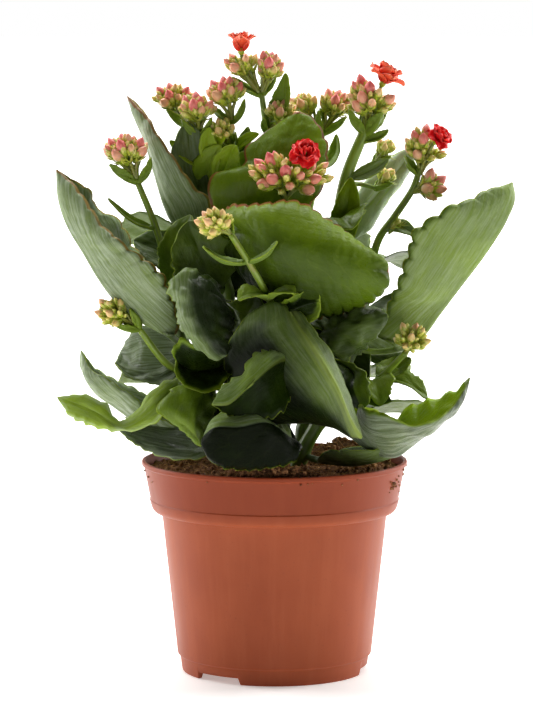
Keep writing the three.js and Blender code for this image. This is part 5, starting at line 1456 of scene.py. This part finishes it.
# a place on the peat: spread over it, or near the front edge
def scatter(chance, reach, inner, atFront, frontRing, frontSpread):
    radius, angle = reach * math.sqrt(chance.uniform(inner, 1)), chance.uniform(0, fullTurn)
    if atFront:
        radius, angle = chance.uniform(*frontRing), chance.normal(-math.pi / 2, frontSpread)
    return radius * math.cos(angle), radius * math.sin(angle)


chance = np.random.default_rng(77)
pile = newPile()
for i in range(peatForm["crumbs"]):
    x, y = scatter(chance, 56.0, 0.02, i % 3 == 0, (45, 56.4), 0.8)
    size = 0.45 + 1.5 * chance.uniform() ** 2.6
    addCrumb(pile, np.array([x, y, peatTop(x, y) + 0.3 * size]), size, chance)
for angle, height, size in specks:
    radius = 56.2 + (height - 78.8) * 0.213  # the band's own slope
    a = math.radians(angle)
    addCrumb(pile, np.array([radius * math.cos(a), radius * math.sin(a), height]), size, chance)
makePiece("peatCrumbs", pile, [crumbFinish], "soil")

pile = newPile()
for i in range(peatForm["fibres"] + peatForm["straws"]):
    straw = i >= peatForm["fibres"]
    x, y = scatter(chance, 54.0, 0.1, i % 2 == 1, (44, 55.5), 0.7)
    heading = chance.uniform(0, fullTurn)
    long = chance.uniform(4, 11) if straw else chance.uniform(3, 12)
    away = np.array([math.cos(heading), math.sin(heading), 0]) * long
    lift = chance.uniform(0.5, 1.2) if straw else chance.uniform(0.0, 0.45)
    start = np.array([x, y, 0.0])
    end = start + away * (0.5 if straw else 1.0)
    if math.hypot(end[0], end[1]) > 57:
        end = start - away * 0.6
    start[2] = peatTop(start[0], start[1]) - 0.4
    end[2] = peatTop(end[0], end[1]) + 0.4 + long * lift * 0.5
    via = (start + end) / 2 + chance.normal(0, 0.12 * long, 3)
    via[2] = max(via[2], peatTop(via[0], via[1]) + 0.6)
    path = bend(start, via, end, np.linspace(0, 1, 9))
    growStem(pile, path, chance.uniform(0.14, 0.3), 0.1, 5, i)
makePiece("peatFibres", pile, [fibreFinish], "soil")
print("peat packed")

# Studio, in metres: pale floor, white surroundings, soft boxes and a camera at the photograph's angle.
studio = {
    "surroundings": 1.0,
    "floor": {"reach": 30.0, "glow": 0.35, "farGlow": 1.0, "near": 1.4, "far": 2.2},
    "boxes": [  # place, aim, width and height, watts
        [(0.0, 0.9, 2.4), (0, 0, 0.15), (2.0, 1.6), 75],
        [(-2.3, 0.9, 1.1), (0, 0, 0.15), (1.4, 2.0), 50],
        [(2.3, 0.9, 1.1), (0, 0, 0.15), (1.4, 2.0), 56],
    ],
    # degrees to each side and up, metres, and how finely it is made
    "darkTent": {"side": 96, "up": 66, "radius": 2.5, "lift": 0.06, "rows": 13, "columns": 25},
    # the place is from the pot's axis; the lens is 3300 pixels long in a picture 703 pixels high
    "camera": {"place": (-0.0036, -1.48, 0.3), "down": 5.98, "sensor": 36.0, "lens": 3300 / 703 * 36.0},
}


def setUp(name, points, faces, finish):
    mesh = bpy.data.meshes.new(name)
    mesh.from_pydata(points, [], faces)
    mesh.materials.append(finish)
    made = putInScene(name, mesh)
    return made


def layFloor():
    floor = studio["floor"]
    reach = floor["reach"]
    material, shader = newFinish("paleFloor", 0.85, gloss=0.2)
    spot = readSpot(shader)
    plug(blend(grain(spot, 60.0, 2.0), paint(250, 249, 247), paint(252, 252, 251)), shader, "Base Color")
    shader.inputs["Emission Color"].default_value = paint(255, 253, 250)
    # the floor glows as painted light: weakly near the pot, lighting it and the leaves from below, and
    # fully far off, where it lifts the dark tent's shadow
    away = addNode("VectorMath", {0: spot}, operation="LENGTH").outputs["Value"]
    glow = remap(away, floor["near"], floor["far"], floor["glow"], floor["farGlow"])
    plug(glow, shader, "Emission Strength")
    setUp("floor", [(-reach, -reach, 0), (reach, -reach, 0), (reach, reach, 0), (-reach, reach, 0)],
          [(0, 1, 2, 3)], material)


# a black half tent behind the camera keeps the plant's front from going flat; only the light meets it
def pitchTent():
    tent = studio["darkTent"]
    columns = tent["columns"]
    points, faces = [], []
    for up in np.radians(np.linspace(-1, tent["up"], tent["rows"])):
        out = tent["radius"] * math.cos(up)
        for side in np.radians(np.linspace(-tent["side"], tent["side"], columns)):
            height = tent["radius"] * math.sin(up) + tent["lift"]
            points.append((out * math.sin(side), -out * math.cos(side), height))
    for row in range(tent["rows"] - 1):
        for a in range(row * columns, row * columns + columns - 1):
            faces.append((a, a + 1, a + 1 + columns, a + columns))
    material, shader = newFinish("blackCloth", 0.95, gloss=0.1)
    weave = grain(readSpot(shader), 80.0, 2.0)
    plug(blend(weave, paint(24, 24, 24), paint(34, 34, 34)), shader, "Base Color")
    setUp("darkTent", points, faces, material).visible_camera = False


def lightRoom():
    world = bpy.data.worlds.new("surroundings")
    world.use_nodes = True
    background = world.node_tree.nodes["Background"]
    background.inputs["Color"].default_value = (1, 1, 1, 1)
    background.inputs["Strength"].default_value = studio["surroundings"]
    bpy.context.scene.world = world
    for i, (place, aim, size, watts) in enumerate(studio["boxes"]):
        lamp = bpy.data.lights.new("softBox%d" % i, "AREA")
        lamp.shape = "RECTANGLE"
        lamp.size, lamp.size_y = size
        lamp.energy = watts
        box = putInScene("softBox%d" % i, lamp)
        box.location = place
        box.rotation_euler = (Vector(aim) - Vector(place)).to_track_quat("-Z", "Y").to_euler()
        box.visible_camera = False


def placeCamera():
    view = studio["camera"]
    camera = bpy.data.cameras.new("camera")
    camera.sensor_width, camera.lens = view["sensor"], view["lens"]
    camera.clip_start, camera.clip_end = 0.05, 100
    seat = putInScene("camera", camera)
    seat.location = Vector(view["place"]) + Vector(potAxis)
    seat.rotation_euler = (math.radians(90 - view["down"]), 0, 0)
    bpy.context.scene.camera = seat


layFloor()
pitchTent()
lightRoom()
placeCamera()
bpy.context.scene.view_settings.view_transform = "Standard"
print("studio set")
